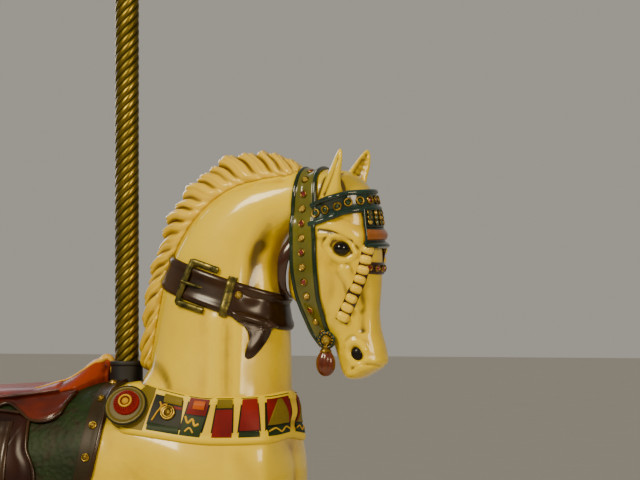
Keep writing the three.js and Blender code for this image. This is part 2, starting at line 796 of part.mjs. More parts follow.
// Neck strap with its buckle, keeper and curved tip
function addNeckStrap() {
  const maneSpace = carved(MANE, { around: 10, along: 16, power: 2, cap: 0.06, grow: GAP });
  const outline = strap(NECK_STRAP);
  const strapSpace = layerSpace(widened(outline, GAP), neck, LEATHER);
  const ring = layer(outline, neck, LEATHER).subtract(maneSpace).subtract(head(GAP));
  const keeper = layer(strap(STRAP_KEEPER), neck, KEEPER_THICKNESS)
    .subtract(strapSpace)
    .intersect(onRight(SIDE_START));
  const keeperSpace = layerSpace(strap(STRAP_KEEPER, GAP), neck, KEEPER_THICKNESS)
    .intersect(onRight(SIDE_START - GAP));
  // The buckle's front bar lies under the strap, so its frame is open there
  const [topBack, topFront, lowFront, lowBack] = widened(BUCKLE, -BUCKLE_BAR);
  const beyond = ([x, z]) => [x + BUCKLE_OPENING[0], z + BUCKLE_OPENING[1]];
  const frame = through(BUCKLE)
    .subtract(through([topBack, beyond(topFront), beyond(lowFront), lowBack]))
    .intersect(neck(BUCKLE_THICKNESS).subtract(neck(GAP)))
    .subtract(strapSpace)
    .intersect(onRight(SIDE_START))
    .subtract(maneSpace);
  const tip = layer(STRAP_TIP, neck, TIP_THICKNESS)
    .subtract(strapSpace)
    .subtract(keeperSpace)
    .intersect(onRight(SIDE_START));
  parts.push(
    piece('neck_strap', ring, LEATHER_DARK),
    piece('strap_buckle', frame, BRONZE),
    piece('strap_keeper', keeper, BRASS),
    piece('strap_tip', tip, LEATHER_DARK)
  );
}

// Breast collar and shoulder rosettes
function addBreastCollar() {
  const clothSpace = layerSpace(widened(SADDLE_CLOTH, GAP), torso, CLOTH);
  const discSpace = layerSpace(circle(ROSETTE.at, ROSETTE.radius + GAP), body, ROSETTE_THICKNESS);
  const collar = layer(BREAST_COLLAR, body, COLLAR_THICKNESS)
    .subtract(poleSpace(RUBBER_RADIUS - POLE_RADIUS + GAP))
    .subtract(discSpace)
    .subtract(clothSpace);
  parts.push(piece('breast_collar', collar, TRIM));
  for (const [name, side] of [['right', -1], ['left', 1]]) {
    const disc = layer(circle(ROSETTE.at, ROSETTE.radius), body, ROSETTE_THICKNESS)
      .intersect(onSide(side, SHOULDER_START))
      .subtract(clothSpace);
    parts.push(piece(`shoulder_rosette_${name}`, disc, TRIM));
  }
}

// Saddle, skirts, fenders, stirrups, cloth and girth
function addSaddle() {
  const seat = (grow) => carved(SADDLE, { around: 16, along: 12, power: 2.4, cap: 0.08, grow });
  const collarRing = poleSpace(RUBBER_RADIUS - POLE_RADIUS + GAP);
  const cloth = layer(SADDLE_CLOTH, torso, CLOTH).subtract(collarRing);
  const clothSpace = layerSpace(widened(SADDLE_CLOTH, GAP), torso, CLOTH);
  parts.push(
    piece('saddle_cloth', cloth, CLOTH_GREEN),
    piece('saddle_seat', seat(0).subtract(torso(CLOTH + GAP)).subtract(collarRing), LEATHER_RED)
  );
  for (const [name, side] of [['right', -1], ['left', 1]]) {
    const half = onSide(side, SIDE_START);
    const onCloth = torso(CLOTH + GAP);
    const skirt = through(SKIRT)
      .intersect(torso(CLOTH + LEATHER).subtract(onCloth))
      .subtract(seat(GAP))
      .intersect(half)
      .subtract(collarRing);
    const skirtSpace = through(widened(SKIRT, GAP)).intersect(torso(CLOTH + LEATHER + GAP));
    const fender = through(FENDER)
      .intersect(torso(CLOTH + LEATHER).subtract(onCloth))
      .subtract(skirtSpace)
      .subtract(seat(GAP))
      .intersect(half);
    const hanger = stirrupLeather().intersect(half).subtract(skirtSpace);
    parts.push(
      piece(`saddle_skirt_${name}`, skirt, LEATHER_RED),
      piece(`saddle_fender_${name}`, fender, LEATHER_RED),
      piece(`stirrup_leather_${name}`, hanger, LEATHER_DARK),
      stirrup(name, side)
    );
  }
  const girth = layer(
    [
      [GIRTH.x - GIRTH.width / 2, GIRTH.low],
      [GIRTH.x + GIRTH.width / 2, GIRTH.low],
      [GIRTH.x + GIRTH.width / 2, GIRTH.high],
      [GIRTH.x - GIRTH.width / 2, GIRTH.high],
    ],
    torso,
    GIRTH_THICKNESS
  ).subtract(clothSpace);
  parts.push(piece('girth', girth, LEATHER_DARK));
}

// The strap that carries a stirrup, laid over the fender
function stirrupLeather() {
  const [middle, , bottom] = STIRRUP.at;
  const left = middle - STIRRUP_LEATHER.width / 2;
  const right = middle + STIRRUP_LEATHER.width / 2;
  const outline = [
    [left, bottom + GAP],
    [right, bottom + GAP],
    [right, STIRRUP_LEATHER.top],
    [left, STIRRUP_LEATHER.top],
  ];
  return layer(outline, torso, CLOTH + 2 * LEATHER, CLOTH + LEATHER + GAP);
}

// A bell-shaped stirrup: an arch over a flat tread, hung under the fender by its top loop
function stirrup(name, side) {
  const { at, width, height, depth, bar, tread } = STIRRUP;
  const arch = (w, top, bottom) => {
    const shape = new THREE.Shape();
    shape.moveTo(-w / 2, bottom);
    shape.lineTo(w / 2, bottom);
    shape.lineTo(w / 2 - 6, bottom + height * 0.4);
    shape.absellipse(0, bottom + height * 0.4, w / 2 - 6, top - bottom - height * 0.4, 0, Math.PI, false);
    shape.closePath();
    const geometry = new THREE.ExtrudeGeometry(shape, { depth, bevelEnabled: false, curveSegments: 10 });
    geometry.rotateX(Math.PI / 2);
    geometry.translate(0, depth / 2, 0);
    return solid(geometry);
  };
  const outer = arch(width, 0, -height);
  const inner = arch(width - 2 * bar, -bar, -height + tread).scale([1, 3, 1]);
  const hung = outer.subtract(inner).translate([at[0], side * at[1], at[2]]);
  return piece(`stirrup_${name}`, hung, BRONZE);
}

// Rubber collars where the pole enters the back and leaves the belly
function addCollars() {
  const collar = (low, high) =>
    turned([
      [POLE_RADIUS + GAP, low],
      [RUBBER_RADIUS, low],
      [RUBBER_RADIUS, high - 1.6 * RUBBER_BEVEL],
      [RUBBER_RADIUS - RUBBER_BEVEL, high],
      [POLE_RADIUS + GAP, high],
      [POLE_RADIUS + GAP, low],
    ]);
  const mane = carved(MANE, { around: 10, along: 16, power: 2, cap: 0.06, grow: GAP });
  const upper = collar(WITHERS - RUBBER_SUNK, WITHERS + RUBBER_ABOVE).subtract(body(GAP)).subtract(mane);
  const lower = collar(BELLY - RUBBER_BELOW, BELLY + RUBBER_SUNK).subtract(torso(GAP));
  parts.push(piece('withers_collar', upper, RUBBER), piece('belly_collar', lower, RUBBER));
}

addPole();
addBody();
addLegs();
addBridle();
addNeckStrap();
addBreastCollar();
addSaddle();
addCollars();

const horse = new THREE.Group();
horse.name = 'carousel_horse';
horse.add(...parts);

export default horse;
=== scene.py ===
import math

import bmesh
import bpy
import numpy as np
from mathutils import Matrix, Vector
from mathutils.bvhtree import BVHTree


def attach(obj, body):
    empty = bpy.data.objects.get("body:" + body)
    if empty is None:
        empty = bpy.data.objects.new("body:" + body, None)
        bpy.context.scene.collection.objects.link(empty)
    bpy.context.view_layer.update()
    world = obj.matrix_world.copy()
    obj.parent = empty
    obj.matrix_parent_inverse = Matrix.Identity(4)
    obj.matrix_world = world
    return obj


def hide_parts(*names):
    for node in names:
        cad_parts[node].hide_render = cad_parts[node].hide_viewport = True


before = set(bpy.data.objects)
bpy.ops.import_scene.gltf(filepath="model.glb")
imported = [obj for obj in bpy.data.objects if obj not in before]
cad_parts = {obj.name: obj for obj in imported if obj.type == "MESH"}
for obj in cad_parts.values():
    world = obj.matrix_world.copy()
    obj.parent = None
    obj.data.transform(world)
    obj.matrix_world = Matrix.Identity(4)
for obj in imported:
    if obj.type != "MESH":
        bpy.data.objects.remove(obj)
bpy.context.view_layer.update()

MM = 0.001
rng = np.random.default_rng(7)


# Deck flange
# A cast iron flange bolted to the ride's deck. It is turned on its face and hub, painted black,
# and the guide tube is pressed into it.

def srgb(code):
    """A colour written as sRGB hex, as linear values."""
    parts = [int(code[i:i + 2], 16) / 255 for i in (1, 3, 5)]
    return [c / 12.92 if c <= 0.04045 else ((c + 0.055) / 1.055) ** 2.4 for c in parts] + [1.0]


def add(material, kind, inputs=None, **settings):
    """Adds a node to a material, with its settings and, for each input, a value or what feeds it."""
    made = material.node_tree.nodes.new("ShaderNode" + kind)
    for name, value in settings.items():
        setattr(made, name, value)
    for socket, value in (inputs or {}).items():
        if isinstance(value, bpy.types.Node):
            value = value.outputs[0]
        if isinstance(value, bpy.types.NodeSocket):
            material.node_tree.links.new(value, made.inputs[socket])
        else:
            made.inputs[socket].default_value = value
    return made


def new_material(name):
    """An empty material, and the place on the piece that its patterns follow."""
    made = bpy.data.materials.new(name)
    made.use_nodes = True
    made.node_tree.nodes.clear()
    return made, add(made, "TexCoord").outputs["Object"]


def two_tones(material, factor, dark, light):
    """The colour between two tones, by a factor from 0 to 1. A tone is sRGB hex or a node's colour."""
    dark, light = (srgb(tone) if isinstance(tone, str) else tone for tone in (dark, light))
    return add(material, "Mix", {0: factor, 6: dark, 7: light}, data_type="RGBA").outputs[2]


def surface(material, shader):
    add(material, "OutputMaterial", {"Surface": shader})
    return material


def turns(count):
    """Angles at even steps round a full turn."""
    return np.linspace(0, 2 * math.pi, count, endpoint=False)


def ring_faces(rings, around, ends="open"):
    """The faces between rings of points. The first and last ring are open, capped or joined."""
    faces = []
    for i in range(rings - 1):
        for j in range(around):
            a, b = i * around + j, i * around + (j + 1) % around
            faces.append((a, b, b + around, a + around))
    last = (rings - 1) * around
    if ends == "joined":
        faces += [(last + j, last + (j + 1) % around, (j + 1) % around, j) for j in range(around)]
    elif ends == "capped":
        faces += [tuple(range(around))[::-1], tuple(range(last, last + around))]
    return faces


def turned(profile, sides=64):
    """A piece turned round the vertical axis, from a closed profile of radius and height in mm."""
    radius, height = np.array(profile, float).T
    angle = turns(sides)[:, None]
    points = np.stack([radius * np.cos(angle), radius * np.sin(angle), height + 0 * angle], axis=2)
    return points.reshape(-1, 3) * MM, ring_faces(sides, len(profile), "joined")


def joined(*meshes):
    """Several meshes as one."""
    faces, start = [], 0
    for points, polygons in meshes:
        faces += [tuple(i + start for i in polygon) for polygon in polygons]
        start += len(points)
    return np.concatenate([points for points, _ in meshes]), faces


def skin_of(name, points, faces):
    """A mesh whose points keep their order, from points in metres."""
    skin = bpy.data.meshes.new(name)
    skin.from_pydata(np.asarray(points).reshape(-1, 3).tolist(), [], faces)
    return skin


def weld(skin, sliver):
    """Joins points that meet, drops faces thinner than a sliver, and turns every face outwards."""
    builder = bmesh.new()
    builder.from_mesh(skin)
    bmesh.ops.remove_doubles(builder, verts=builder.verts, dist=1e-6)
    bmesh.ops.dissolve_degenerate(builder, edges=builder.edges, dist=sliver)
    bmesh.ops.recalc_face_normals(builder, faces=builder.faces)
    builder.to_mesh(skin)
    builder.free()


def in_scene(name, data):
    """Puts a skin, a lamp or a camera in the scene."""
    made = bpy.data.objects.new(name, data)
    bpy.context.scene.collection.objects.link(made)
    return made


def carried(name, skin, material, replaces, body):
    """Puts a skin in the scene as a piece that rides on a body and stands for CAD nodes."""
    made = in_scene(name, skin)
    skin.name = name
    skin.materials.clear()
    skin.materials.append(material)
    skin.shade_smooth()
    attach(made, body)
    if replaces:
        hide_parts(*replaces)
    return made


def piece(name, mesh, material, replaces=(), smooth_angle=40, body="horse"):
    """A piece from points and faces, with the edges that are sharper than an angle left crisp."""
    skin = skin_of(name, *mesh)
    weld(skin, 1e-7)
    made = carried(name, skin, material, replaces, body)
    if smooth_angle:
        skin.set_sharp_from_angle(angle=math.radians(smooth_angle))
    return made


FLANGE_RADIUS = 110
FLANGE_EDGE = 12
HUB_RADIUS = 36
HUB_TOP = 62
GUIDE_RADIUS = 19.5
BOLTS = 4
BOLT_CIRCLE = 82
BOLT_SEAT = 17.3

# Black paint over a sand cast skin: grainy, with grey rubbed through on the high spots
m, place = new_material("black_paint_on_cast_iron")
grit = add(m, "TexNoise", {"Vector": place, "Scale": 900.0, "Detail": 6.0})
worn = add(m, "TexNoise", {"Vector": place, "Scale": 40.0, "Detail": 8.0, "Roughness": 0.7})
share = add(m, "MapRange", {"Value": worn, 1: 0.5, 2: 0.72})
skin = add(m, "Bump", {"Strength": 0.35, "Distance": 0.0008, "Height": grit})
black_paint_on_cast_iron = surface(m, add(m, "BsdfPrincipled", {
    "Base Color": two_tones(m, share, "#191a1b", "#3c3c3a"),
    "Roughness": add(m, "MapRange", {"Value": worn, 3: 0.38, 4: 0.62}),
    "Metallic": 0.3,
    "Normal": skin,
}))

# Bright zinc on the bolts, a little streaky
m, place = new_material("zinc_plated_steel")
streak = add(m, "TexNoise", {"Vector": place, "Scale": 160.0, "Detail": 5.0})
zinc_plated_steel = surface(m, add(m, "BsdfPrincipled", {
    "Base Color": two_tones(m, streak, "#7d8084", "#c3c5c2"),
    "Metallic": 1.0,
    "Roughness": add(m, "MapRange", {"Value": streak, 3: 0.22, 4: 0.5}),
}))


def rounded(corners, radius, steps=4):
    """A closed profile with every corner rounded, in the profile's own unit."""
    corners = np.array(corners, float)
    t = np.linspace(0, 1, steps + 1)[:, None]
    bends = []
    for here, before, after in zip(corners, np.roll(corners, 1, 0), np.roll(corners, -1, 0)):
        back, on = np.linalg.norm(before - here), np.linalg.norm(after - here)
        reach = min(radius, 0.45 * back, 0.45 * on)
        start = here + (before - here) / back * reach
        end = here + (after - here) / on * reach
        bends.append((1 - t) ** 2 * start + 2 * t * (1 - t) * here + t * t * end)
    return np.concatenate(bends)


flange_profile = rounded([
    (GUIDE_RADIUS + 0.3, 0),
    (FLANGE_RADIUS, 0),
    (FLANGE_RADIUS, FLANGE_EDGE),
    (HUB_RADIUS + 14, 19),
    (HUB_RADIUS + 1, 34),
    (HUB_RADIUS, HUB_TOP),
    (GUIDE_RADIUS + 0.3, HUB_TOP),
], 4)
piece("turned_deck_flange", turned(flange_profile, 96), black_paint_on_cast_iron, ["deck_flange"],
      body="deck_guide")


def circle(radius, height, count, start=0.0):
    """Points in mm round a level circle."""
    angle = turns(count) + start
    return np.stack([radius * np.cos(angle), radius * np.sin(angle), np.full(count, float(height))], axis=1)


def hexagon_head(radius, height, chamfer=0.18):
    """A hexagon bolt head with its washer, standing on the origin, in mm."""
    levels = [(radius, 0), (radius, height * (1 - chamfer)), (radius * 0.86, height)]
    head = np.vstack([circle(reach, z, 6) for reach, z in levels])
    washer = turned([(2, -2.5), (radius * 1.35, -2.5), (radius * 1.35, 0), (2, 0)], 32)
    return joined((head * MM, ring_faces(3, 6) + [tuple(range(12, 18))]), washer)


bolt_heads = []
for seat in circle(BOLT_CIRCLE, BOLT_SEAT, BOLTS, math.pi / 4):
    head_points, head_faces = hexagon_head(9, 7)
    bolt_heads.append((head_points + seat * MM, head_faces))
piece("deck_bolts", joined(*bolt_heads), zinc_plated_steel, body="deck_guide")


# Guide tube
# A ground steel tube standing in the flange. The pole's nylon bush runs up and down on it, so it
# is bright and lightly oiled, with fine scores along its length.
GUIDE_TOP = 900

m, place = new_material("oiled_ground_steel")
long_way = add(m, "Mapping", {"Vector": place, "Scale": (260.0, 260.0, 6.0)})
scores = add(m, "TexNoise", {"Vector": long_way, "Scale": 4.0, "Detail": 4.0})
film = add(m, "TexNoise", {"Vector": place, "Scale": 14.0, "Detail": 3.0})
oiled_ground_steel = surface(m, add(m, "BsdfPrincipled", {
    "Base Color": two_tones(m, film, "#6d6c68", "#a9aaa8"),
    "Metallic": 1.0,
    "Roughness": add(m, "MapRange", {"Value": scores, 3: 0.18, 4: 0.42}),
    "Normal": add(m, "Bump", {"Strength": 0.2, "Distance": 0.0002, "Height": scores}),
}))
guide_profile = rounded([(15, 8), (GUIDE_RADIUS, 8), (GUIDE_RADIUS, GUIDE_TOP), (15, GUIDE_TOP)], 1.5)
piece("ground_guide_tube", turned(guide_profile), oiled_ground_steel, ["guide_tube"],
      body="deck_guide")


# Pole
# A steel pipe inside a rolled brass sleeve that is twisted like rope. Hands keep the ridges
# bright, and the grooves between them go brown and green.
POLE_RADIUS = 25
POLE_BOTTOM = 300
POLE_TOP = 2640
RIDGES = 7
LEAD = 126
GROOVE = 2.2


def twisted_sleeve(bottom, top):
    """The sleeve: rounded ridges that climb round the pole, with a share from groove to ridge."""
    around, step = RIDGES * 10, 5
    height = np.linspace(bottom, top, int(round((top - bottom) / step)) + 1)[:, None]
    ridge = np.abs(np.sin(turns(around) * RIDGES / 2)) ** 0.7
    radius = POLE_RADIUS - GROOVE * (1 - ridge)
    angle = turns(around) + 2 * math.pi * height / LEAD
    points = np.stack([radius * np.cos(angle), radius * np.sin(angle), height + 0 * angle], axis=2)
    mesh = points.reshape(-1, 3) * MM, ring_faces(len(height), around, "capped")
    return mesh, np.tile(ridge, len(height))


def paint_share(made, name, values):
    """Keeps a number at each point of a piece, for its material to read."""
    store = made.data.attributes.new(name, "FLOAT", "POINT")
    store.data.foreach_set("value", np.asarray(values, np.float32))


# Rolled brass: yellow brown metal, rubbed bright on the ridges and gone green brown in the grooves
m, place = new_material("twisted_rolled_brass")
ridge = add(m, "Attribute", attribute_name="ridge").outputs["Fac"]
hands = add(m, "TexNoise", {"Vector": place, "Scale": 22.0, "Detail": 6.0, "Roughness": 0.65})
polish = add(m, "Math", {0: ridge, 1: hands}, operation="MULTIPLY")
shine = add(m, "MapRange", {"Value": polish, 1: 0.08, 2: 0.55})
twisted_rolled_brass = surface(m, add(m, "BsdfPrincipled", {
    "Base Color": two_tones(m, shine, "#2b2a0b", "#837028"),
    "Metallic": 1.0,
    "Roughness": add(m, "MapRange", {"Value": shine, 3: 0.6, 4: 0.3}),
    "Normal": add(m, "Bump", {"Strength": 0.12, "Distance": 0.0004, "Height": hands}),
}))
sleeve_mesh, sleeve_high = twisted_sleeve(POLE_BOTTOM, POLE_TOP)
sleeve = piece("twisted_pole_sleeve", sleeve_mesh, twisted_rolled_brass, ["pole"], 0)
paint_share(sleeve, "ridge", sleeve_high)


# Crank bearing
# The cast block that hangs the pole from its overhead crank. A split bearing on top takes the
# crank's journal, and a socket below is clamped round the sleeve with two bolts.
CRANK_HEIGHT = 2700
CRANK_BORE = 22
socket_profile = rounded([
    (POLE_RADIUS + 0.3, POLE_TOP - 80),
    (POLE_RADIUS + 9, POLE_TOP - 80),
    (POLE_RADIUS + 9, POLE_TOP + 6),
    (POLE_RADIUS + 3, CRANK_HEIGHT - 36),
    (3, CRANK_HEIGHT - 36),
    (3, POLE_TOP + 0.3),
    (POLE_RADIUS + 0.3, POLE_TOP + 0.3),
], 3)
bearing_profile = rounded([
    (CRANK_BORE, -34), (38, -34), (40, -26), (45, -24), (45, 24), (40, 26), (38, 34), (CRANK_BORE, 34),
], 2)
bearing_points, bearing_faces = turned(bearing_profile, 72)
bearing_points = bearing_points[:, [0, 2, 1]] + [0, 0, CRANK_HEIGHT * MM]
clamp_bolts = []
for z in (POLE_TOP - 60, POLE_TOP - 24):
    bolt_points, bolt_faces = hexagon_head(8, 6)
    bolt_points = bolt_points[:, [0, 2, 1]] * [1, -1, 1]
    clamp_bolts.append((bolt_points + np.array([0, -(POLE_RADIUS + 10.5) * MM, z * MM]), bolt_faces))
piece("cast_crank_bearing", joined(turned(socket_profile, 72), (bearing_points, bearing_faces)),
      black_paint_on_cast_iron, ["crank_bearing"])
piece("bearing_clamp_bolts", joined(*clamp_bolts), zinc_plated_steel)


# Ferrule and nylon bush
# A turned brass ferrule closes the sleeve's lower end. Under it shows the lip of the nylon bush
# that rides on the guide tube.
m, place = new_material("spun_brass")
lathe_marks = add(m, "TexWave", {"Vector": place, "Scale": 90.0, "Distortion": 0.4, "Detail": 2.0},
                  bands_direction="Z")
dull = add(m, "TexNoise", {"Vector": place, "Scale": 30.0, "Detail": 6.0})
spun_brass = surface(m, add(m, "BsdfPrincipled", {
    "Base Color": two_tones(m, dull, "#7d5a1e", "#d0a245"),
    "Metallic": 1.0,
    "Roughness": add(m, "MapRange", {"Value": dull, 3: 0.18, 4: 0.42}),
    "Normal": add(m, "Bump", {"Strength": 0.1, "Distance": 0.0002, "Height": lathe_marks.outputs[1]}),
}))
ferrule_profile = rounded([
    (POLE_RADIUS - 1, POLE_BOTTOM + 1),
    (POLE_RADIUS + 6, POLE_BOTTOM + 1),
    (POLE_RADIUS + 8, POLE_BOTTOM + 8),
    (POLE_RADIUS + 8, POLE_BOTTOM + 14),
    (POLE_RADIUS + 5, POLE_BOTTOM + 17),
    (POLE_RADIUS + 8, POLE_BOTTOM + 21),
    (POLE_RADIUS + 8, POLE_BOTTOM + 34),
    (POLE_RADIUS + 3, POLE_BOTTOM + 44),
    (POLE_RADIUS - 1, POLE_BOTTOM + 44),
], 2)
piece("spun_pole_ferrule", turned(ferrule_profile, 72), spun_brass, ["pole_ferrule"])

# Natural nylon: milky, slightly see-through at the edge, with turning rings
m, place = new_material("turned_nylon")
rings = add(m, "TexWave", {"Vector": place, "Scale": 200.0}, bands_direction="Z")
tint = add(m, "TexNoise", {"Vector": place, "Scale": 60.0, "Detail": 3.0})
turned_nylon = surface(m, add(m, "BsdfPrincipled", {
    "Base Color": two_tones(m, tint, "#b5ac92", "#e2dcc8"),
    "Roughness": 0.45,
    "Subsurface Weight": 0.15,
    "Subsurface Radius": (0.002, 0.002, 0.002),
    "Normal": add(m, "Bump", {"Strength": 0.15, "Distance": 0.0002, "Height": rings.outputs[1]}),
}))
bush_profile = rounded([
    (GUIDE_RADIUS + 0.3, POLE_BOTTOM - 6),
    (POLE_RADIUS, POLE_BOTTOM - 6),
    (POLE_RADIUS, POLE_BOTTOM - 0.3),
    (GUIDE_RADIUS + 1.2, POLE_BOTTOM - 0.3),
    (GUIDE_RADIUS + 1.2, POLE_BOTTOM + 70),
    (GUIDE_RADIUS + 0.3, POLE_BOTTOM + 70),
], 1)
piece("turned_pole_bush", turned(bush_profile), turned_nylon, ["pole_bushing"])


# Carved body
# Glued basswood blocks carved as trunk, neck and legs, primed, painted cream and varnished. The
# blocks meet without a seam, so each form below runs into its neighbours before it is smoothed.
# Stations give front x and z, back x and z and half width in mm, and a leg's come to its own middle.
TORSO = [
    (362, 1105, 374, 1008, 92), (342, 1160, 350, 915, 126), (282, 1192, 288, 835, 158),
    (170, 1212, 180, 790, 176), (40, 1222, 45, 774, 184), (-100, 1204, -100, 778, 190),
    (-240, 1180, -245, 800, 192), (-380, 1186, -385, 842, 190), (-500, 1204, -500, 880, 184),
    (-610, 1180, -598, 925, 164), (-690, 1118, -672, 975, 120),
]
NECK = [
    (372, 1130, 46, 1150, 142), (358, 1200, 52, 1215, 132), (356, 1275, 66, 1290, 118),
    (353, 1350, 80, 1370, 106), (341, 1415, 97, 1445, 95), (334, 1465, 124, 1512, 88),
    (340, 1500, 166, 1572, 82), (354, 1522, 224, 1618, 76), (376, 1535, 296, 1645, 69),
    (402, 1540, 372, 1656, 60), (430, 1545, 436, 1650, 50),
]
LEG_SPREAD = 98
RAISED_FORELEG = [
    (356, 1006, 214, 900, 56), (414, 940, 284, 820, 54), (460, 890, 361, 788, 42),
    (498, 858, 424, 770, 34), (528, 836, 474, 764, 33), (534, 802, 480, 752, 28),
    (522, 750, 470, 728, 25), (498, 694, 452, 688, 20), (474, 642, 428, 646, 20),
    (460, 602, 402, 612, 26), (436, 574, 388, 594, 21), (418, 552, 372, 578, 23),
    (410, 540, 364, 572, 24),
]
REACHING_FORELEG = [
    (360, 990, 220, 870, 56), (404, 896, 290, 800, 52), (438, 830, 348, 760, 42),
    (464, 786, 400, 726, 34), (488, 752, 434, 700, 33), (494, 722, 440, 682, 28),
    (502, 680, 448, 664, 25), (506, 628, 460, 622, 20), (508, 576, 464, 574, 20),
    (516, 538, 460, 532, 26), (524, 508, 478, 496, 21), (538, 484, 492, 466, 23),
    (545, 476, 498, 456, 24),
]
TRAILING_HINDLEG = [
    (-430, 1000, -690, 1080, 66), (-462, 890, -704, 960, 74), (-528, 806, -706, 862, 56),
    (-596, 750, -722, 796, 41), (-648, 712, -744, 750, 33), (-678, 680, -760, 708, 29),
    (-704, 640, -770, 660, 26), (-734, 590, -784, 604, 20), (-758, 548, -806, 562, 20),
    (-774, 512, -830, 534, 26), (-800, 488, -844, 514, 21), (-824, 468, -862, 500, 23),
    (-832, 458, -872, 494, 24),
]
GATHERED_HINDLEG = [
    (-430, 1000, -690, 1080, 66), (-446, 880, -692, 950, 74), (-482, 792, -672, 856, 56),
    (-532, 738, -666, 790, 41), (-574, 700, -676, 744, 33), (-600, 668, -686, 702, 29),
    (-612, 630, -676, 650, 26), (-614, 580, -662, 592, 20), (-608, 536, -656, 544, 20),
    (-598, 498, -656, 508, 26), (-590, 470, -634, 484, 21), (-574, 450, -618, 458, 23),
    (-568, 440, -618, 446, 24),
]


def through(points, share):
    """Points on the smooth line through some points, at shares of its length from 0 to 1."""
    points = np.asarray(points, float)
    share = np.clip(np.atleast_1d(share), 0, 1) * (len(points) - 1)
    i = np.minimum(share.astype(int), len(points) - 2)
    t = (share - i)[:, None]
    padded = np.vstack([2 * points[0] - points[1], points, 2 * points[-1] - points[-2]])
    p0, p1, p2, p3 = (padded[i + k] for k in range(4))
    d0, d1, d2 = (
        np.maximum(np.linalg.norm(b - a, axis=1), 1e-6)[:, None] ** 0.5
        for a, b in ((p0, p1), (p1, p2), (p2, p3))
    )
    leaving = ((p1 - p0) / d0 - (p2 - p0) / (d0 + d1) + (p2 - p1) / d1) * d1
    arriving = ((p2 - p1) / d1 - (p3 - p1) / (d1 + d2) + (p3 - p2) / d2) * d1
    return (
        (2 * t ** 3 - 3 * t ** 2 + 1) * p1 + (t ** 3 - 2 * t ** 2 + t) * leaving
        + (3 * t ** 2 - 2 * t ** 3) * p2 + (t ** 3 - t ** 2) * arriving
    )


def rounding(share, cap):
    """How full a form is at shares of its length, where both ends are domed over a share of it."""
    to_end = np.minimum(share, 1 - share) / cap
    return np.where(to_end < 1, np.sqrt(np.maximum(0, 1 - (1 - to_end) ** 2)), 1)


def carved(stations, power=2.2, cap=0.1, side=0, grow=0, rows=110, around=96):
    """A closed form between a front line and a back line, with domed ends, in metres."""
    stations = np.asarray(stations, float)
    share = (1 - np.cos(np.linspace(0, math.pi, rows + 1))) / 2
    front = through(stations[:, 0:2], share)
    back = through(stations[:, 2:4], share)
    width = through(stations[:, 4:5], share)[:, 0]
    dome = rounding(share, cap)
    half = (front - back) / 2
    reach = 1 + grow / np.linalg.norm(half, axis=1)
    forward, sideways = (np.sign(part) * np.abs(part) ** (2 / power)
                         for part in (np.cos(turns(around)), np.sin(turns(around))))
    middle = (front + back) / 2
    points = np.zeros((rows + 1, around, 3))
    points[..., 0] = middle[:, None, 0] + (half[:, 0] * reach * dome)[:, None] * forward
    points[..., 2] = middle[:, None, 1] + (half[:, 1] * reach * dome)[:, None] * forward
    points[..., 1] = side * LEG_SPREAD + ((width + grow) * dome)[:, None] * sideways
    return points.reshape(-1, 3) * MM, ring_faces(rows + 1, around)


def fused(forms, grain):
    """Forms run together into one closed skin, with faces of about the given size in mm."""
    rough = in_scene("rough", skin_of("rough", *joined(*forms)))
    weld(rough.data, 1e-6)
    skin = rough.modifiers.new("skin", "REMESH")
    skin.mode = "VOXEL"
    skin.voxel_size = grain * MM
    made = bpy.data.meshes.new_from_object(rough.evaluated_get(bpy.context.evaluated_depsgraph_get()))
    bpy.data.objects.remove(rough)
    return made


def numbers(collection, field, size=3, kind=float):
    values = np.zeros(len(collection) * size, kind)
    collection.foreach_get(field, values)
    return values.reshape(-1, size)


def put(mesh, places):
    mesh.vertices.foreach_set("co", np.ascontiguousarray(places, np.float32).ravel())
    mesh.update()


def neighbour_mean(values, edges, count):
    """The mean of each point's neighbours."""
    total = np.zeros_like(values)
    for k in range(values.shape[1]):
        total[:, k] = (np.bincount(edges[:, 0], values[edges[:, 1], k], count)
                       + np.bincount(edges[:, 1], values[edges[:, 0], k], count))
    degree = np.bincount(edges.ravel(), minlength=count)
    return total / np.maximum(degree, 1)[:, None]


def sanded(mesh, times):
    """Smooths a mesh without shrinking it."""
    places = numbers(mesh.vertices, "co")
    edges = numbers(mesh.edges, "vertices", 2, np.int32)
    for turn in range(times * 2):
        pull = 0.6 if turn % 2 == 0 else -0.62
        places += pull * (neighbour_mean(places, edges, len(places)) - places)
    put(mesh, places)


def fading(near, reach):
    """A weight that falls smoothly from 1 to 0 over a reach."""
    return np.where(near < reach, (1 - (near / reach) ** 2) ** 2, 0)


def strokes(mesh, routes, side_only=0.25):
    """Carving strokes on both sides. A route is seen from the side: its points in mm as x and z,
    how far each stroke reaches, and how much it raises the wood, or lowers it if negative."""
    for route, reach, height in routes:
        places = numbers(mesh.vertices, "co") / MM
        normals = numbers(mesh.vertex_normals, "vector")
        flat = places[:, [0, 2]]
        line = np.array(route, float)
        if len(route) > 1:
            line = through(route, np.linspace(0, 1, 6 * len(route)))
        near = np.full(len(flat), 1e9)
        for i in range(max(1, len(line) - 1)):
            a = line[i]
            span = line[min(i + 1, len(line) - 1)] - a
            t = np.clip((flat - a) @ span / max(span @ span, 1e-9), 0, 1)
            near = np.minimum(near, np.linalg.norm(flat - a - t[:, None] * span, axis=1))
        sideways = np.clip(np.abs(normals[:, 1]) / side_only, 0, 1)
        put(mesh, (places + normals * (fading(near, reach) * sideways * height)[:, None]) * MM)


def folded(places):
    """Places in mm, with those on the left laid over those on the right."""
    return np.column_stack([places[:, 0], np.abs(places[:, 1]), places[:, 2]]) / MM


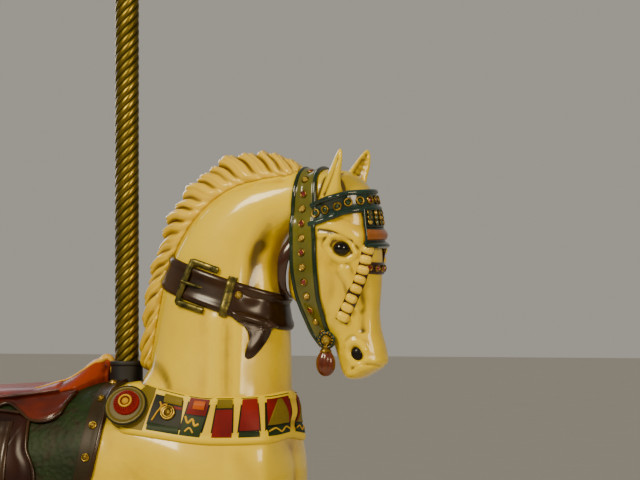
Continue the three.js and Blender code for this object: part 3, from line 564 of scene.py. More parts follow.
def touches(mesh, spots):
    """Carving at spots in space, on both sides: x, distance from the middle, z, reach and height."""
    for x, y, z, reach, height in spots:
        places = numbers(mesh.vertices, "co")
        normals = numbers(mesh.vertex_normals, "vector")
        near = np.linalg.norm(folded(places) - [x, y, z], axis=1)
        put(mesh, places + normals * (fading(near, reach) * height)[:, None] * MM)


def puttied(mesh, spots, coats):
    """Fills the creases near some spots, on both sides: x, distance from the middle, z and reach."""
    places = numbers(mesh.vertices, "co")
    edges = numbers(mesh.edges, "vertices", 2, np.int32)
    weight = np.zeros(len(places))
    for x, y, z, reach in spots:
        near = np.linalg.norm(folded(places) - [x, y, z], axis=1)
        weight = np.maximum(weight, np.clip(2 - 2 * near / reach, 0, 1))
    for _ in range(coats):
        normals = numbers(mesh.vertex_normals, "vector")
        for _ in range(10):
            pull = neighbour_mean(places, edges, len(places)) - places
            lifts = (pull * normals).sum(axis=1) > 0
            places += 0.6 * (weight * lifts)[:, None] * pull
        put(mesh, places)


def hollows(mesh, steps=6):
    """How deep each point lies below its surroundings, for varnish and painted shade in the carving."""
    places = numbers(mesh.vertices, "co")
    normals = numbers(mesh.vertex_normals, "vector")
    edges = numbers(mesh.edges, "vertices", 2, np.int32)
    soft = places.copy()
    for _ in range(steps):
        soft = neighbour_mean(soft, edges, len(soft))
    depth = ((soft - places) * normals).sum(axis=1)[:, None]
    for _ in range(3):
        depth = neighbour_mean(depth, edges, len(depth))
    return depth[:, 0] / MM


def shown(name, mesh, material, replaces):
    """Puts a finished skin in the scene, with the hollows for its varnish and painted shade."""
    made = carried(name, mesh, material, replaces, "horse")
    paint_share(made, "hollow", hollows(mesh))
    return made


def painted_carving(name, deep, base, light, varnish=0.12, hollow_mm=0.35, roughness=0.34, coat=0.7,
                    ripple_mm=0.6):
    """Oil enamel on carved wood under varnish. The hollows are darker, as gathered varnish and as
    painted shade, the high places are lighter, as rubbed wear and as painted highlight, and the coat
    keeps the faint ripple of the brush."""
    m, place = new_material(name)
    hollow = add(m, "Attribute", attribute_name="hollow").outputs["Fac"]
    cloud = add(m, "TexNoise", {"Vector": place, "Scale": 9.0, "Detail": 5.0, "Roughness": 0.6})
    mottle = add(m, "MapRange", {"Value": cloud, 1: 0.35, 2: 0.7})
    # Painted shade in the hollows, with the varnish gathered there, and a painted highlight on the high
    # places, with rubbed wear
    varnish_and_shade = add(m, "MapRange", {"Value": hollow, 1: 0.02, 2: hollow_mm})
    wear_and_highlight = add(m, "MapRange", {"Value": hollow, 1: -0.05, 2: -hollow_mm})
    body = two_tones(m, mottle, base, light)
    body = two_tones(m, wear_and_highlight, body, light)
    body = two_tones(m, varnish_and_shade, body, deep)
    strands = add(m, "Mapping", {"Vector": place, "Scale": (60.0, 60.0, 14.0)})
    brush = add(m, "TexNoise", {"Vector": strands, "Scale": 3.0, "Detail": 3.0})
    ripple = add(m, "TexNoise", {"Vector": place, "Scale": 55.0, "Detail": 1.0})
    relief = add(m, "Math", {0: brush, 1: ripple}, operation="ADD")
    return surface(m, add(m, "BsdfPrincipled", {
        "Base Color": body,
        "Roughness": roughness,
        "Specular IOR Level": 0.12,
        "Coat Weight": coat,
        "Coat Roughness": varnish,
        "Coat IOR": 1.5,
        "Normal": add(m, "Bump", {"Strength": 0.16, "Distance": ripple_mm * MM, "Height": relief}),
    }))


varnished_cream_enamel = painted_carving("varnished_cream_enamel", "#54430a", "#ba9902", "#d0b40c")

body_mesh = fused([
    carved(TORSO, 2.25, 0.09, rows=160, around=140),
    carved(NECK, 2.1, 0.04, rows=140, around=120),
    carved(RAISED_FORELEG, 2.1, 0.04, -1),
    carved(REACHING_FORELEG, 2.1, 0.04, 1),
    carved(TRAILING_HINDLEG, 2.1, 0.04, -1),
    carved(GATHERED_HINDLEG, 2.1, 0.04, 1),
], 5.5)
sanded(body_mesh, 14)
puttied(body_mesh, [(-565, 120, 1010, 270), (290, 120, 930, 230)], 16)
sanded(body_mesh, 4)
strokes(body_mesh, [
    ([(90, 1150), (190, 1060), (300, 950)], 95, 9),
    ([(215, 905), (196, 830)], 62, -2.5),
    ([(-395, 1030), (-420, 930)], 88, -2.5),
    ([(-560, 1060)], 150, 11),
    ([(-470, 1128)], 50, 5),
    ([(-500, 900)], 60, 6),
    ([(236, 1347), (238, 1270), (242, 1196)], 24, 2),
    ([(283, 1347), (285, 1270), (289, 1200)], 20, 2),
    ([(110, 1460), (160, 1545), (215, 1596), (290, 1626), (360, 1636)], 15, -2.5),
])
# A fold runs down behind the throat, deepest half way
THROAT_FOLD = [(346, 1560), (334, 1538), (323, 1516), (314, 1496), (308, 1478), (304, 1447), (301, 1400)]
strokes(body_mesh, [(THROAT_FOLD[k:], 26, -1.5) for k in range(4)])
touches(body_mesh, [
    (366, 52, 1040, 75, 5), (66, 108, 1192, 84, 22),
    (505, LEG_SPREAD, 800, 34, 3), (468, LEG_SPREAD, 735, 30, 3),
])
sanded(body_mesh, 3)
leg_nodes = [f"{leg}_{side}_{part}" for leg in ("fore", "hind") for side in ("right", "left")
             for part in ("upper_leg", "lower_leg")]
shown("carved_body", body_mesh, varnished_cream_enamel, ["torso", "neck"] + leg_nodes)


# Head and ears
# The head is carved from two blocks with the ears set in, then painted like the body. The eyes sit
# under heavy lids, the nostrils are cut deep, and the ears are hollowed with a gouge.
HEAD = [
    (468, 1662, 400, 1650, 40), (506, 1642, 376, 1608, 58), (534, 1612, 368, 1568, 66),
    (545, 1572, 369, 1528, 70), (553, 1520, 367, 1484, 71), (556, 1465, 361, 1440, 66),
    (555, 1415, 366, 1400, 56), (552, 1370, 424, 1348, 46), (556, 1330, 454, 1311, 42),
    (566, 1293, 468, 1274, 43), (569, 1268, 476, 1247, 42), (558, 1247, 491, 1221, 32),
]
EAR = [
    (468, 50, 1582, 33, 31), (472, 57, 1610, 31, 23), (479, 66, 1640, 27, 15), (488, 74, 1664, 21, 10.5),
    (495, 79, 1684, 13, 7), (499, 82, 1699, 4, 3),
]
EAR_TURN = math.radians(35)
EYE = (494, 60, 1496)


def ear(side, rows=70, around=48):
    """An ear from stations of place, broad half width and thin half width, facing a little inwards."""
    share = (1 - np.cos(np.linspace(0, math.pi, rows + 1))) / 2
    line = through(EAR, share)[:, None, :]
    facing = np.array([math.cos(EAR_TURN), -side * math.sin(EAR_TURN), 0])
    broad = np.array([-facing[1], facing[0], 0])
    angle = turns(around)[None, :, None]
    wall = line[..., 3:4] * np.cos(angle) * broad + line[..., 4:5] * np.sin(angle) * facing
    points = line[..., :3] * [1, side, 1] + rounding(share, 0.08)[:, None, None] * wall
    return points.reshape(-1, 3) * MM, ring_faces(rows + 1, around)


head_mesh = fused([carved(HEAD, 2.4, 0.05, rows=170, around=130), ear(-1), ear(1)], 2.3)
sanded(head_mesh, 8)
strokes(head_mesh, [
    ([(452, 1440), (446, 1400)], 70, 5),
    ([(476, 1462), (470, 1405), (448, 1362)], 22, -2.5),
    ([(500, 1452), (512, 1420), (522, 1378)], 15, 4),
    ([(532, 1440), (534, 1380), (532, 1330)], 14, -3.5),
    ([(436, 1537), (466, 1540), (496, 1534), (524, 1520)], 24, 4.5),
    ([(494, 1496)], 35, -4.5),
    ([(448, 1533), (471, 1530), (492, 1522), (515, 1509)], 6, -4),
    ([(464, 1504), (475, 1519), (492, 1521), (509, 1511), (524, 1486)], 6, 4),
    ([(466, 1498), (475, 1484), (490, 1474), (506, 1473), (522, 1483)], 6, 2),
    ([(519, 1280)], 33, 4),
    ([(516, 1285), (522, 1276)], 20, -15),
    ([(500, 1299), (512, 1308), (528, 1303), (537, 1290)], 10, 2.5),
    ([(565, 1256), (548, 1260), (528, 1259), (508, 1252)], 5, -2.5),
    ([(560, 1266), (540, 1269)], 10, 1.5),
    ([(500, 1237), (524, 1232)], 14, 2),
    ([(494, 1678), (481, 1644), (462, 1606)], 9, -3.5),
])
# The gouged hollow of each ear faces forwards and a little inwards
for x, y, z, broad, thin in through(EAR, np.linspace(0.34, 0.86, 7)):
    places = numbers(head_mesh.vertices, "co") / MM
    normals = numbers(head_mesh.vertex_normals, "vector")
    side = np.where(places[:, 1] < 0, -1, 1)
    facing = np.column_stack([np.full(len(side), math.cos(EAR_TURN)), -side * math.sin(EAR_TURN), 0 * side])
    front = np.column_stack([0 * side + x, side * y, 0 * side + z]) + facing * thin
    near = np.linalg.norm(places - front, axis=1)
    fall = fading(near, 0.95 * broad) * np.clip((normals * facing).sum(axis=1), 0, 1)
    put(head_mesh, (places - facing * (fall * thin * 0.5)[:, None]) * MM)
sanded(head_mesh, 2)
shown("carved_head", head_mesh, varnished_cream_enamel, ["head", "ear_right", "ear_left"])

# Each eye is a blown glass dome, dark brown, set into the wood from outside
m, place = new_material("blown_brown_glass")
iris = add(m, "TexNoise", {"Vector": place, "Scale": 130.0, "Detail": 3.0})
blown_brown_glass = surface(m, add(m, "BsdfPrincipled", {
    "Base Color": two_tones(m, iris, "#030101", "#0d0503"),
    "Roughness": 0.06,
    "Specular IOR Level": 0.35,
}))


def dome(centre, radii, rows=20, around=32):
    """A smooth egg in mm."""
    tilt, turn = math.pi * np.arange(rows + 1)[:, None] / rows, turns(around)
    egg = [np.sin(tilt) * np.cos(turn), np.cos(tilt) + 0 * turn, np.sin(tilt) * np.sin(turn)]
    egg = np.stack(egg, axis=2)
    return (np.array(centre) + np.array(radii) * egg).reshape(-1, 3) * MM, ring_faces(rows + 1, around)


# The nostrils are painted dark brown inside, as their paint and as painted shade in the deep cut
nostril_shade_enamel = painted_carving("nostril_shade_enamel", "#020101", "#060302", "#0b0604", roughness=0.6, coat=0.2)
NOSTRIL = (519, 36, 1282)
nostrils = [dome((NOSTRIL[0], side * NOSTRIL[1], NOSTRIL[2]), (13.5, 8, 13.5)) for side in (-1, 1)]
piece("painted_nostrils", joined(*nostrils), nostril_shade_enamel)

for name, side in (("right", -1), ("left", 1)):
    centre = (EYE[0], side * EYE[1], EYE[2])
    piece(f"glass_eye_{name}", dome(centre, (18, 18.5, 15.5)), blown_brown_glass,
          [f"eye_{name}"])


# Hooves
# Each hoof is carved on the end of its leg, painted dark brown, and has its shoe painted on as a
# steel grey band round the bottom.
HOOVES = {
    "fore_right": (-1, [(419, 549, 369, 577, 25), (414, 532, 356, 566, 29), (408, 512, 338, 554, 34)]),
    "fore_left": (1, [(541, 483, 491, 463, 25), (552, 468, 496, 444, 29), (566, 452, 498, 422, 34)]),
    "hind_right": (-1, [(-824, 464, -864, 500, 25), (-838, 450, -882, 492, 29), (-854, 434, -904, 486, 34)]),
    "hind_left": (1, [(-571, 449, -620, 455, 25), (-562, 434, -622, 436, 29), (-552, 416, -626, 412, 34)]),
}


def rooted(stations, depth):
    """Stations with the form's start run on into the piece that carries it."""
    first, second = np.array(stations[0], float), np.array(stations[1], float)
    step = (first[0:2] + first[2:4] - second[0:2] - second[2:4]) / 2
    step *= depth / np.linalg.norm(step)
    first[0:2] += step
    first[2:4] += step
    return [tuple(first)] + list(stations)


hoof_enamel = painted_carving("varnished_hoof_enamel", "#0c0603", "#28170b", "#3d2613", roughness=0.3)
shoe_enamel = painted_carving("grey_shoe_enamel", "#1f1f1e", "#6b6a66", "#8d8b85", roughness=0.4)
for name, (side, stations) in HOOVES.items():
    upper, lower = np.array(stations[-2], float), np.array(stations[-1], float)
    rim = lower + (upper - lower) * 0.42
    wall = carved(rooted(stations[:-1], 16) + [tuple(rim)], 2.2, 0.03, side, rows=50)
    band = carved([tuple(rim), tuple((rim + lower) / 2), tuple(lower)], 2.2, 0.12, side, grow=1.2, rows=24)
    hoof = piece(f"carved_hoof_{name}", wall, hoof_enamel, [f"{name}_hoof"], 0)
    # Painted shade in the hollows of the hoof and of its shoe
    paint_share(hoof, "hollow", hollows(hoof.data))
    shoe = piece(f"painted_shoe_{name}", band, shoe_enamel, smooth_angle=50)
    paint_share(shoe, "hollow", hollows(shoe.data))


# Mane
# Locks carved in relief in boards glued along the crest. Each lock leaves the neck low, sweeps back
# towards the withers, and has a deep cut beside it and finer cuts along it.
MANE_ROOT = [
    (378, 1646), (315, 1637), (254, 1621), (204, 1592), (161, 1550), (120, 1488), (98, 1440),
    (88, 1385), (74, 1310), (62, 1245),
]
MANE_EDGE = [
    (396, 1656), (354, 1675), (297, 1684), (239, 1677), (186, 1652), (139, 1610), (102, 1552), (76, 1490),
    (60, 1424), (50, 1356), (43, 1300), (42, 1246),
]
MANE_LOCKS = 19
LOCK_SWEEP = 2.5


def run_of(line):
    """How far along a line each of its points is."""
    return np.concatenate([[0], np.cumsum(np.linalg.norm(np.diff(line, axis=0), axis=1))])


def evenly(points, count):
    """Points at even steps along the smooth line through some points."""
    fine = through(points, np.linspace(0, 1, 600))
    run = run_of(fine)
    steps = np.linspace(0, run[-1], count)
    return np.column_stack([np.interp(steps, run, fine[:, k]) for k in range(fine.shape[1])])


def lock_relief(phase, deep, fine, cuts=3):
    """The height of locks side by side, one to each unit of phase, in mm."""
    wavy = phase + 0.16 * np.sin(1.7 * phase + 1) + 0.08 * np.sin(3.9 * phase)
    number = np.floor(wavy)
    across = wavy - number
    proud = 0.3 * np.sin(number * 2.4 + 1) + 0.2 * np.sin(number * 5.1)
    back = 1 - np.abs(2 * across - 1) ** 2.6
    cut = np.abs(np.sin(math.pi * cuts * across + 0.5 * np.sin(number * 3.3))) ** 0.7
    return back * (deep * (1 + proud) + fine * (cut - 1))


def tree_of(*meshes):
    """A search tree over finished skins, to lay other pieces on."""
    corners, faces = [], []
    for mesh in meshes:
        start = len(corners)
        corners += [v.co.copy() for v in mesh.vertices]
        faces += [[i + start for i in p.vertices] for p in mesh.polygons]
    return BVHTree.FromPolygons(corners, faces)


def landed(tree, point, outward, above=120):
    """Where a point in mm lands on the wood when it is pressed in against an outward direction."""
    direction = Vector(outward).normalized()
    start = Vector(point) * MM + direction * above * MM
    place = tree.ray_cast(start, -direction, 2 * above * MM)[0]
    if place is None:
        place = tree.find_nearest(Vector(point) * MM)[0]
    return np.array(place) / MM


neck_and_head = tree_of(body_mesh, head_mesh)
rows, columns = MANE_LOCKS * 26, 63
root_line, edge_line = evenly(MANE_ROOT, rows), evenly(MANE_EDGE, rows)
root_width = np.array([abs(landed(neck_and_head, (x, -70, z), (0, -1, 0))[1]) for x, z in root_line])
root_width = np.convolve(np.pad(root_width, 20, "edge"), np.ones(41) / 41, "valid")
v = np.linspace(-1, 1, columns)
height_share = np.cos(math.pi / 2 * v)
width_share = 0.55 * np.sin(math.pi / 2 * np.abs(v)) + 0.45 * np.sin(math.pi / 2 * np.abs(v)) ** 3
closing = rounding(np.linspace(0, 1, rows), 0.03)[:, None]
mane_points = np.zeros((rows, columns, 3))
for axis, k in ((0, 0), (2, 1)):
    reach = (edge_line - root_line)[:, None, k] * height_share * closing
    mane_points[..., axis] = root_line[:, None, k] + reach
mane_points[..., 1] = (root_width[:, None] + 1) * width_share * np.sign(v) * closing
# The root row sinks into the neck, and the form closes inside it
mane_points[:, 0, 1] += 10
mane_points[:, -1, 1] -= 10
mane_faces = ring_faces(rows, columns)
mane_faces += [tuple(range(columns)), tuple(range((rows - 1) * columns, rows * columns))[::-1]]
mane_mesh = skin_of("carved_mane", mane_points * MM, mane_faces)
mane_normals = numbers(mane_mesh.vertex_normals, "vector").reshape(rows, columns, 3)
swept_back = height_share + 0.05 * np.sin(2 * math.pi * height_share)
mane_phase = MANE_LOCKS * np.linspace(0, 1, rows)[:, None] - LOCK_SWEEP * swept_back + 40
rise = np.clip((1 - np.abs(v)) / 0.12, 0, 1) * (0.75 + 0.5 * height_share)
mane_high = lock_relief(mane_phase, 9.5, 3) * rise * closing
put(mane_mesh, (mane_points + mane_normals * mane_high[..., None]).reshape(-1, 3) * MM)
# The cuts between the locks take painted shade and their crowns a painted highlight, over a deeper range
varnished_golden_enamel = painted_carving("varnished_golden_enamel", "#4f3403", "#bd9a14", "#d2b02a",
                                          hollow_mm=1.2, roughness=0.35)
shown("carved_mane", mane_mesh, varnished_golden_enamel, ["mane"])


# Tail
# Carved from one block and pegged into the rump, with long locks that wind round it.
TAIL = [
    (-672, 1156, -676, 1102, 24), (-738, 1168, -722, 1096, 34), (-806, 1120, -752, 1052, 42),
    (-846, 1020, -772, 982, 47), (-856, 900, -770, 886, 47), (-846, 790, -776, 786, 42),
    (-832, 706, -794, 706, 30), (-846, 640, -826, 648, 10),
]
TAIL_LOCKS = 9
tail_rows, tail_around = 220, 140
tail_points, tail_faces = carved(rooted(TAIL, 50), 2.1, 0.08, grow=-6, rows=tail_rows, around=tail_around)
tail_faces += [tuple(range(tail_around))[::-1], tuple(range(tail_rows * tail_around, len(tail_points)))]
tail_mesh = skin_of("carved_tail", tail_points, tail_faces)
down = (1 - np.cos(np.linspace(0, math.pi, tail_rows + 1)))[:, None] / 2
turn = np.linspace(0, 1, tail_around, endpoint=False)
tail_phase = TAIL_LOCKS * turn + 2.2 * down + 0.9 * np.sin(4.5 * down + 2 * math.pi * turn) + 20
tail_normals = numbers(tail_mesh.vertex_normals, "vector")
tail_high = lock_relief(tail_phase, 9, 3) * np.clip(np.minimum(down, 1 - down) / 0.06, 0, 1)
put(tail_mesh, tail_points + tail_normals * tail_high.reshape(-1, 1) * MM)
shown("carved_tail", tail_mesh, varnished_golden_enamel, ["tail"])


# Headstall
# The cheek strap is carved proud of the head and runs over the poll. Its field is old gold paint,
# its rolled edges are dark green enamel, and glass jewels sit in brass cups along its middle.
HEADSTALL = [
    (450, 1304, 34), (434, 1333, 40), (420, 1393, 50), (415, 1440, 57), (412, 1500, 58),
    (413, 1570, 54), (414, 1600, 50),
]
POLL_CENTRE = (414, 1600)


def unit(vectors):
    """Directions with a length of one."""
    vectors = np.asarray(vectors, float)
    return vectors / np.maximum(np.linalg.norm(vectors, axis=-1, keepdims=True), 1e-9)


def along_side(line, side, count):
    """Places along a strap that lies on one side: a point, outwards, across the strap, and width."""
    steps = evenly(line, count)
    run = unit(np.gradient(steps[:, :2], axis=0))
    return [((x, 0, z), (0, side, 0), (-dz, 0, dx), width)
            for (x, z, width), (dx, dz) in zip(steps, run)]


def along_loop(centre, lean, first, last, count, width, height=None):
    """Places along a strap that goes round. The loop's plane leans forward by an angle, and the
    strap runs between two angles from the front, measured about its centre."""
    lean = math.radians(lean)
    forward = np.array([math.cos(lean), 0, -math.sin(lean)])
    upward = np.array([math.sin(lean), 0, math.cos(lean)])
    places = []
    for angle in np.radians(np.linspace(first, last, count)):
        outward = math.cos(angle) * forward + math.sin(angle) * np.array([0, 1, 0])
        shift = height(angle) if height else 0
        wide = width(angle) if callable(width) else width
        places.append((np.array(centre) + upward * shift, outward, upward, wide))
    return places


def facing_of(points):
    """The direction that a grid of points faces, at each of them."""
    return unit(np.cross(np.gradient(points, axis=0), np.gradient(points, axis=1)))


def laid(tree, places, samples=17, drop=30, ease=2, bridged=False):
    """The surface a strap takes when it is laid on the wood: points in mm and outward directions.
    It doesn't follow the wood further down than the given drop, and it may bridge from edge to edge."""
    far = 260
    outward = unit([out for _, out, _, _ in places])
    starts = np.zeros((len(places), samples, 3))
    depth = np.full((len(places), samples), np.nan)
    for i, (point, _, across, width) in enumerate(places):
        across = unit(across)
        for j, share in enumerate(np.linspace(-0.5, 0.5, samples)):
            starts[i, j] = np.asarray(point) + across * share * width
            above = Vector((starts[i, j] + outward[i] * far) * MM)
            hit = tree.ray_cast(above, -Vector(outward[i]), far * MM)[0]
            if hit is not None:
                depth[i, j] = (np.array(hit) / MM - starts[i, j]) @ outward[i]
    for i in range(len(places)):
        good = ~np.isnan(depth[i])
        if good.any():
            depth[i] = np.interp(np.arange(samples), np.flatnonzero(good), depth[i][good])
        depth[i] = np.maximum(depth[i], np.nanmax(depth[i]) - drop)
        if bridged:
            depth[i] = np.maximum(depth[i], np.linspace(depth[i][0], depth[i][-1], samples))
    for i in range(1, len(places)):
        depth[i] = np.where(np.isnan(depth[i]), depth[i - 1], depth[i])
    for _ in range(ease):
        padded = np.pad(depth, 1, "edge")
        depth = (2 * depth + padded[:-2, 1:-1] + padded[2:, 1:-1] + padded[1:-1, :-2] + padded[1:-1, 2:]) / 6
    points = starts + depth[..., None] * outward[:, None, :]
    normals = facing_of(points)
    flip = np.sign((normals * outward[:, None, :]).sum(axis=2))
    flip[flip == 0] = 1
    return points, normals * flip[..., None]


def strap_of(bed, heights, closed=False, sunk=4):
    """A strap on its bed, with the given heights across it in mm and its underside in the wood."""
    points, normals = bed
    rows, samples = points.shape[:2]
    heights = np.interp(np.linspace(0, 1, samples), np.linspace(0, 1, len(heights)), heights)
    top = points + normals * heights[None, :, None]
    left, right = points[:, :1] - normals[:, :1] * sunk, points[:, -1:] - normals[:, -1:] * sunk
    ring = np.concatenate([left, top, right], axis=1)
    return ring.reshape(-1, 3) * MM, ring_faces(rows, samples + 2, "joined" if closed else "capped")


def tube(path, radius, sides=10, closed=False, squash=1.0, flat=(0.31, 0.9, 0.27)):
    """A round bar along a path in mm. It may be squashed in one direction, or in one for each point."""
    path = np.asarray(path, float)
    tangent = unit(np.roll(path, -1, axis=0) - np.roll(path, 1, axis=0) if closed
                   else np.gradient(path, axis=0))
    one = unit(np.cross(tangent, np.broadcast_to(flat, path.shape)))
    two = np.cross(one, tangent)
    radius = np.broadcast_to(radius, len(path))[:, None, None]
    angle = turns(sides)[None, :, None]
    ring = np.cos(angle) * one[:, None, :] + squash * np.sin(angle) * two[:, None, :]
    rings = path[:, None, :] + radius * ring
    return rings.reshape(-1, 3) * MM, ring_faces(len(path), sides, "joined" if closed else "capped")


def standing(mesh, point, outward, spin=(0, 0, 1)):
    """A mesh made upright on the origin, stood at a point in mm with its top outwards."""
    vertices, faces = mesh
    up = unit(outward)
    side = unit(np.cross(spin, up))
    return np.asarray(vertices) @ np.array([side, np.cross(up, side), up]) + np.asarray(point) * MM, faces


def at_share(bed, along, over, lift=0.0):
    """The point and outward direction at shares of a bed's length and width."""
    points, normals = bed
    i = np.clip(along, 0, 1) * (points.shape[0] - 1)
    j = np.clip(over, 0, 1) * (points.shape[1] - 1)
    i0, j0 = min(int(i), points.shape[0] - 2), min(int(j), points.shape[1] - 2)
    s, t = i - i0, j - j0
    spot, out = (
        (1 - s) * (1 - t) * grid[i0, j0] + s * (1 - t) * grid[i0 + 1, j0]
        + (1 - s) * t * grid[i0, j0 + 1] + s * t * grid[i0 + 1, j0 + 1]
        for grid in (points, normals)
    )
    out = unit(out)
    return spot + out * lift, out


def line_on(bed, along, over, lift=0.0):
    """Points in mm on a bed, at shares along it and shares across it."""
    return np.array([at_share(bed, a, b, lift)[0] for a, b in np.broadcast(along, over)])


def edge_rolls(bed, radius, lift, inset=0.0):
    """The rolled edges of a strap, as round bars along both sides of its bed."""
    shares = np.linspace(0, 1, len(bed[0]))
    return joined(*[tube(line_on(bed, shares, over, lift), radius, 10) for over in (inset, 1 - inset)])


def cup_profile(radius, height):
    """A spun cup that holds a jewel: a rolled rim round a shallow seat."""
    return rounded([(radius * 0.62, -2), (radius * 1.25, -2), (radius * 1.25, height * 0.5),
                    (radius * 1.08, height), (radius * 0.9, height * 0.8), (radius * 0.62, 0.3)], 0.8, 3)


def jewel(radius, height, facets=8):
    """A cut glass jewel: a flat table with facets falling to its rim."""
    levels = [(1.0, 0), (0.92, height * 0.45), (0.52, height)]
    points = np.vstack([circle(radius * share, z, facets, math.pi / facets * (k % 2))
                        for k, (share, z) in enumerate(levels)])
    faces = []
    for k in range(2):
        for i in range(facets):
            a, b = k * facets + i, k * facets + (i + 1) % facets
            c, d = a + facets, b + facets
            faces += [(a, b, c), (b, d, c)] if k % 2 == 0 else [(a, b, d), (a, d, c)]
    return points * MM, faces + [tuple(range(2 * facets, 3 * facets)), tuple(range(facets))[::-1]]


def set_jewel(stones, cups, spot, out, radius, height, cup_height, sides=20):
    """Sets a jewel in its cup at a place, and keeps each in its own list."""
    stones.append(standing(jewel(radius, height), spot, out))
    cups.append(standing(turned(cup_profile(radius, cup_height), sides), spot, out))


def jewels(name, stones, glass):
    """A piece of loose stones, with every facet left crisp."""
    piece(name, joined(*stones), glass, smooth_angle=20)


old_gold_enamel = painted_carving("old_gold_enamel", "#141203", "#40400c", "#5c5a14", roughness=0.3)
green_edge_enamel = painted_carving("green_edge_enamel", "#030706", "#0a1c18", "#16322a", roughness=0.2)
dark_green_edge_enamel = painted_carving("dark_green_edge_enamel", "#030603", "#0a170d", "#1a2c16",
                                         roughness=0.2)


def coloured_glass(name, dark, light):
    """Cut glass over foil: deep colour with a bright flash from each facet."""
    m, place = new_material(name)
    flaw = add(m, "TexNoise", {"Vector": place, "Scale": 170.0, "Detail": 2.0})
    return surface(m, add(m, "BsdfPrincipled", {
        "Base Color": two_tones(m, flaw, dark, light),
        "Metallic": 0.45,
        "Roughness": 0.12,
        "Coat Weight": 1.0,
        "Coat Roughness": 0.03,
    }))


red_glass = coloured_glass("foiled_red_glass", "#3c0604", "#8a1a10")
amber_glass = coloured_glass("foiled_amber_glass", "#6e5a10", "#cdb040")
green_glass = coloured_glass("foiled_green_glass", "#08170c", "#24502a")

# Cast brass under old varnish: brown in the hollows, yellow where it is handled
m, place = new_material("aged_cast_brass")
patina = add(m, "TexNoise", {"Vector": place, "Scale": 75.0, "Detail": 7.0, "Roughness": 0.65})
tone = add(m, "MapRange", {"Value": patina, 1: 0.38, 2: 0.66})
aged_cast_brass = surface(m, add(m, "BsdfPrincipled", {
    "Base Color": two_tones(m, tone, "#4a3a10", "#ae8f3c"),
    "Metallic": 1.0,
    "Roughness": add(m, "MapRange", {"Value": tone, 3: 0.5, 4: 0.24}),
    "Normal": add(m, "Bump", {"Strength": 0.25, "Distance": 0.0003, "Height": patina}),
}))

right_cheek = along_side(HEADSTALL, -1, 90)
left_cheek = [(p, (0, 1, 0), (-a[0], 0, -a[2]), w) for p, _, a, w in right_cheek[::-1]]
over_poll = []
for angle in np.radians(np.linspace(-86, 86, 44)):
    outward = (0, math.sin(angle), math.cos(angle))
    over_poll.append(((POLL_CENTRE[0], 0, POLL_CENTRE[1]), outward, (-1, 0, 0), 50 - 8 * math.cos(angle)))
poll_bed = laid(neck_and_head, right_cheek + over_poll + left_cheek, samples=15, drop=14, ease=3)
piece("carved_headstall", strap_of(poll_bed, [4, 6.5, 6, 5.5, 5, 5, 5, 5.5, 6, 6.5, 4]), old_gold_enamel,
      ["headstall"])
piece("headstall_rolled_edges", edge_rolls(poll_bed, 4.8, 3.8, 0.03), dark_green_edge_enamel,
      smooth_angle=60)

HEADSTALL_JEWEL_STEP = 29
headstall_jewels, headstall_cups = {"red": [], "amber": []}, []
headstall_run = run_of(poll_bed[0][:, 7])
spots = int(headstall_run[-1] / HEADSTALL_JEWEL_STEP)
for k in range(1, spots):
    run = k / spots * headstall_run[-1] + 8 * np.sign(k - spots / 2)
    share = np.interp(run, headstall_run, np.linspace(0, 1, len(headstall_run)))
    kind = "red" if (k if k < spots / 2 else spots - k) % 2 == 1 else "amber"
    set_jewel(headstall_jewels[kind], headstall_cups, *at_share(poll_bed, share, 0.5, 5.2), 6.4, 4.2, 3.2)
piece("headstall_jewel_cups", joined(*headstall_cups), aged_cast_brass)
jewels("headstall_red_jewels", headstall_jewels["red"], red_glass)
jewels("headstall_amber_jewels", headstall_jewels["amber"], amber_glass)


# Browband
# A band across the forehead between the ears and the eyes, painted dark green with thick rolled
# edges, and set with a row of brass rings.
BROW_CENTRE = (468, 0, 1580)
BROW_HEIGHT = np.array([(425, 1560), (440, 1566), (497, 1587), (545, 1594), (560, 1595)])
BROW_RING_STEP = 24.5


def brow_height(angle):
    """How far the band rises over the forehead above the level of its centre."""
    return np.interp(BROW_CENTRE[0] + 76 * math.cos(angle), *BROW_HEIGHT.T) - BROW_CENTRE[2]


head_tree = tree_of(head_mesh)
brow_places = along_loop(BROW_CENTRE, 0, -118, 118, 110, lambda angle: 37 + 8 * abs(math.sin(angle)) ** 3,
                         brow_height)
brow_bed = laid(head_tree, brow_places, samples=13, drop=12, ease=9)
piece("carved_browband", strap_of(brow_bed, [7, 6.5, 5.5, 5, 5, 5, 5.5, 6.5, 7]), green_edge_enamel,
      ["browband"])
piece("browband_rolled_edges", edge_rolls(brow_bed, 5.6, 5.0, 0.05), green_edge_enamel,
      smooth_angle=60)
brow_run = run_of(brow_bed[0][:, 6])
brow_ring = turned(rounded([(5.4, -1), (9.6, -1), (9.6, 2.2), (8.6, 3.6), (6.6, 3.6), (5.4, 2.2)], 1.0), 24)
brow_rings, side_jewels, front_jewels = [], [], []
count = int(brow_run[-1] / BROW_RING_STEP)
for k in range(count + 1):
    share = np.interp((k / count * 0.93 + 0.035) * brow_run[-1], brow_run, np.linspace(0, 1, len(brow_run)))
    spot, out = at_share(brow_bed, share, 0.5, 5.0)
    brow_rings.append(standing(brow_ring, spot, out))
    near_front = abs(k - count / 2) < 1.1
    (front_jewels if near_front else side_jewels).append(standing(jewel(5.4, 2.6), spot, out))
piece("browband_ring_studs", joined(*brow_rings), aged_cast_brass)
jewels("browband_dark_jewels", side_jewels, green_glass)
jewels("browband_front_jewels", front_jewels, red_glass)


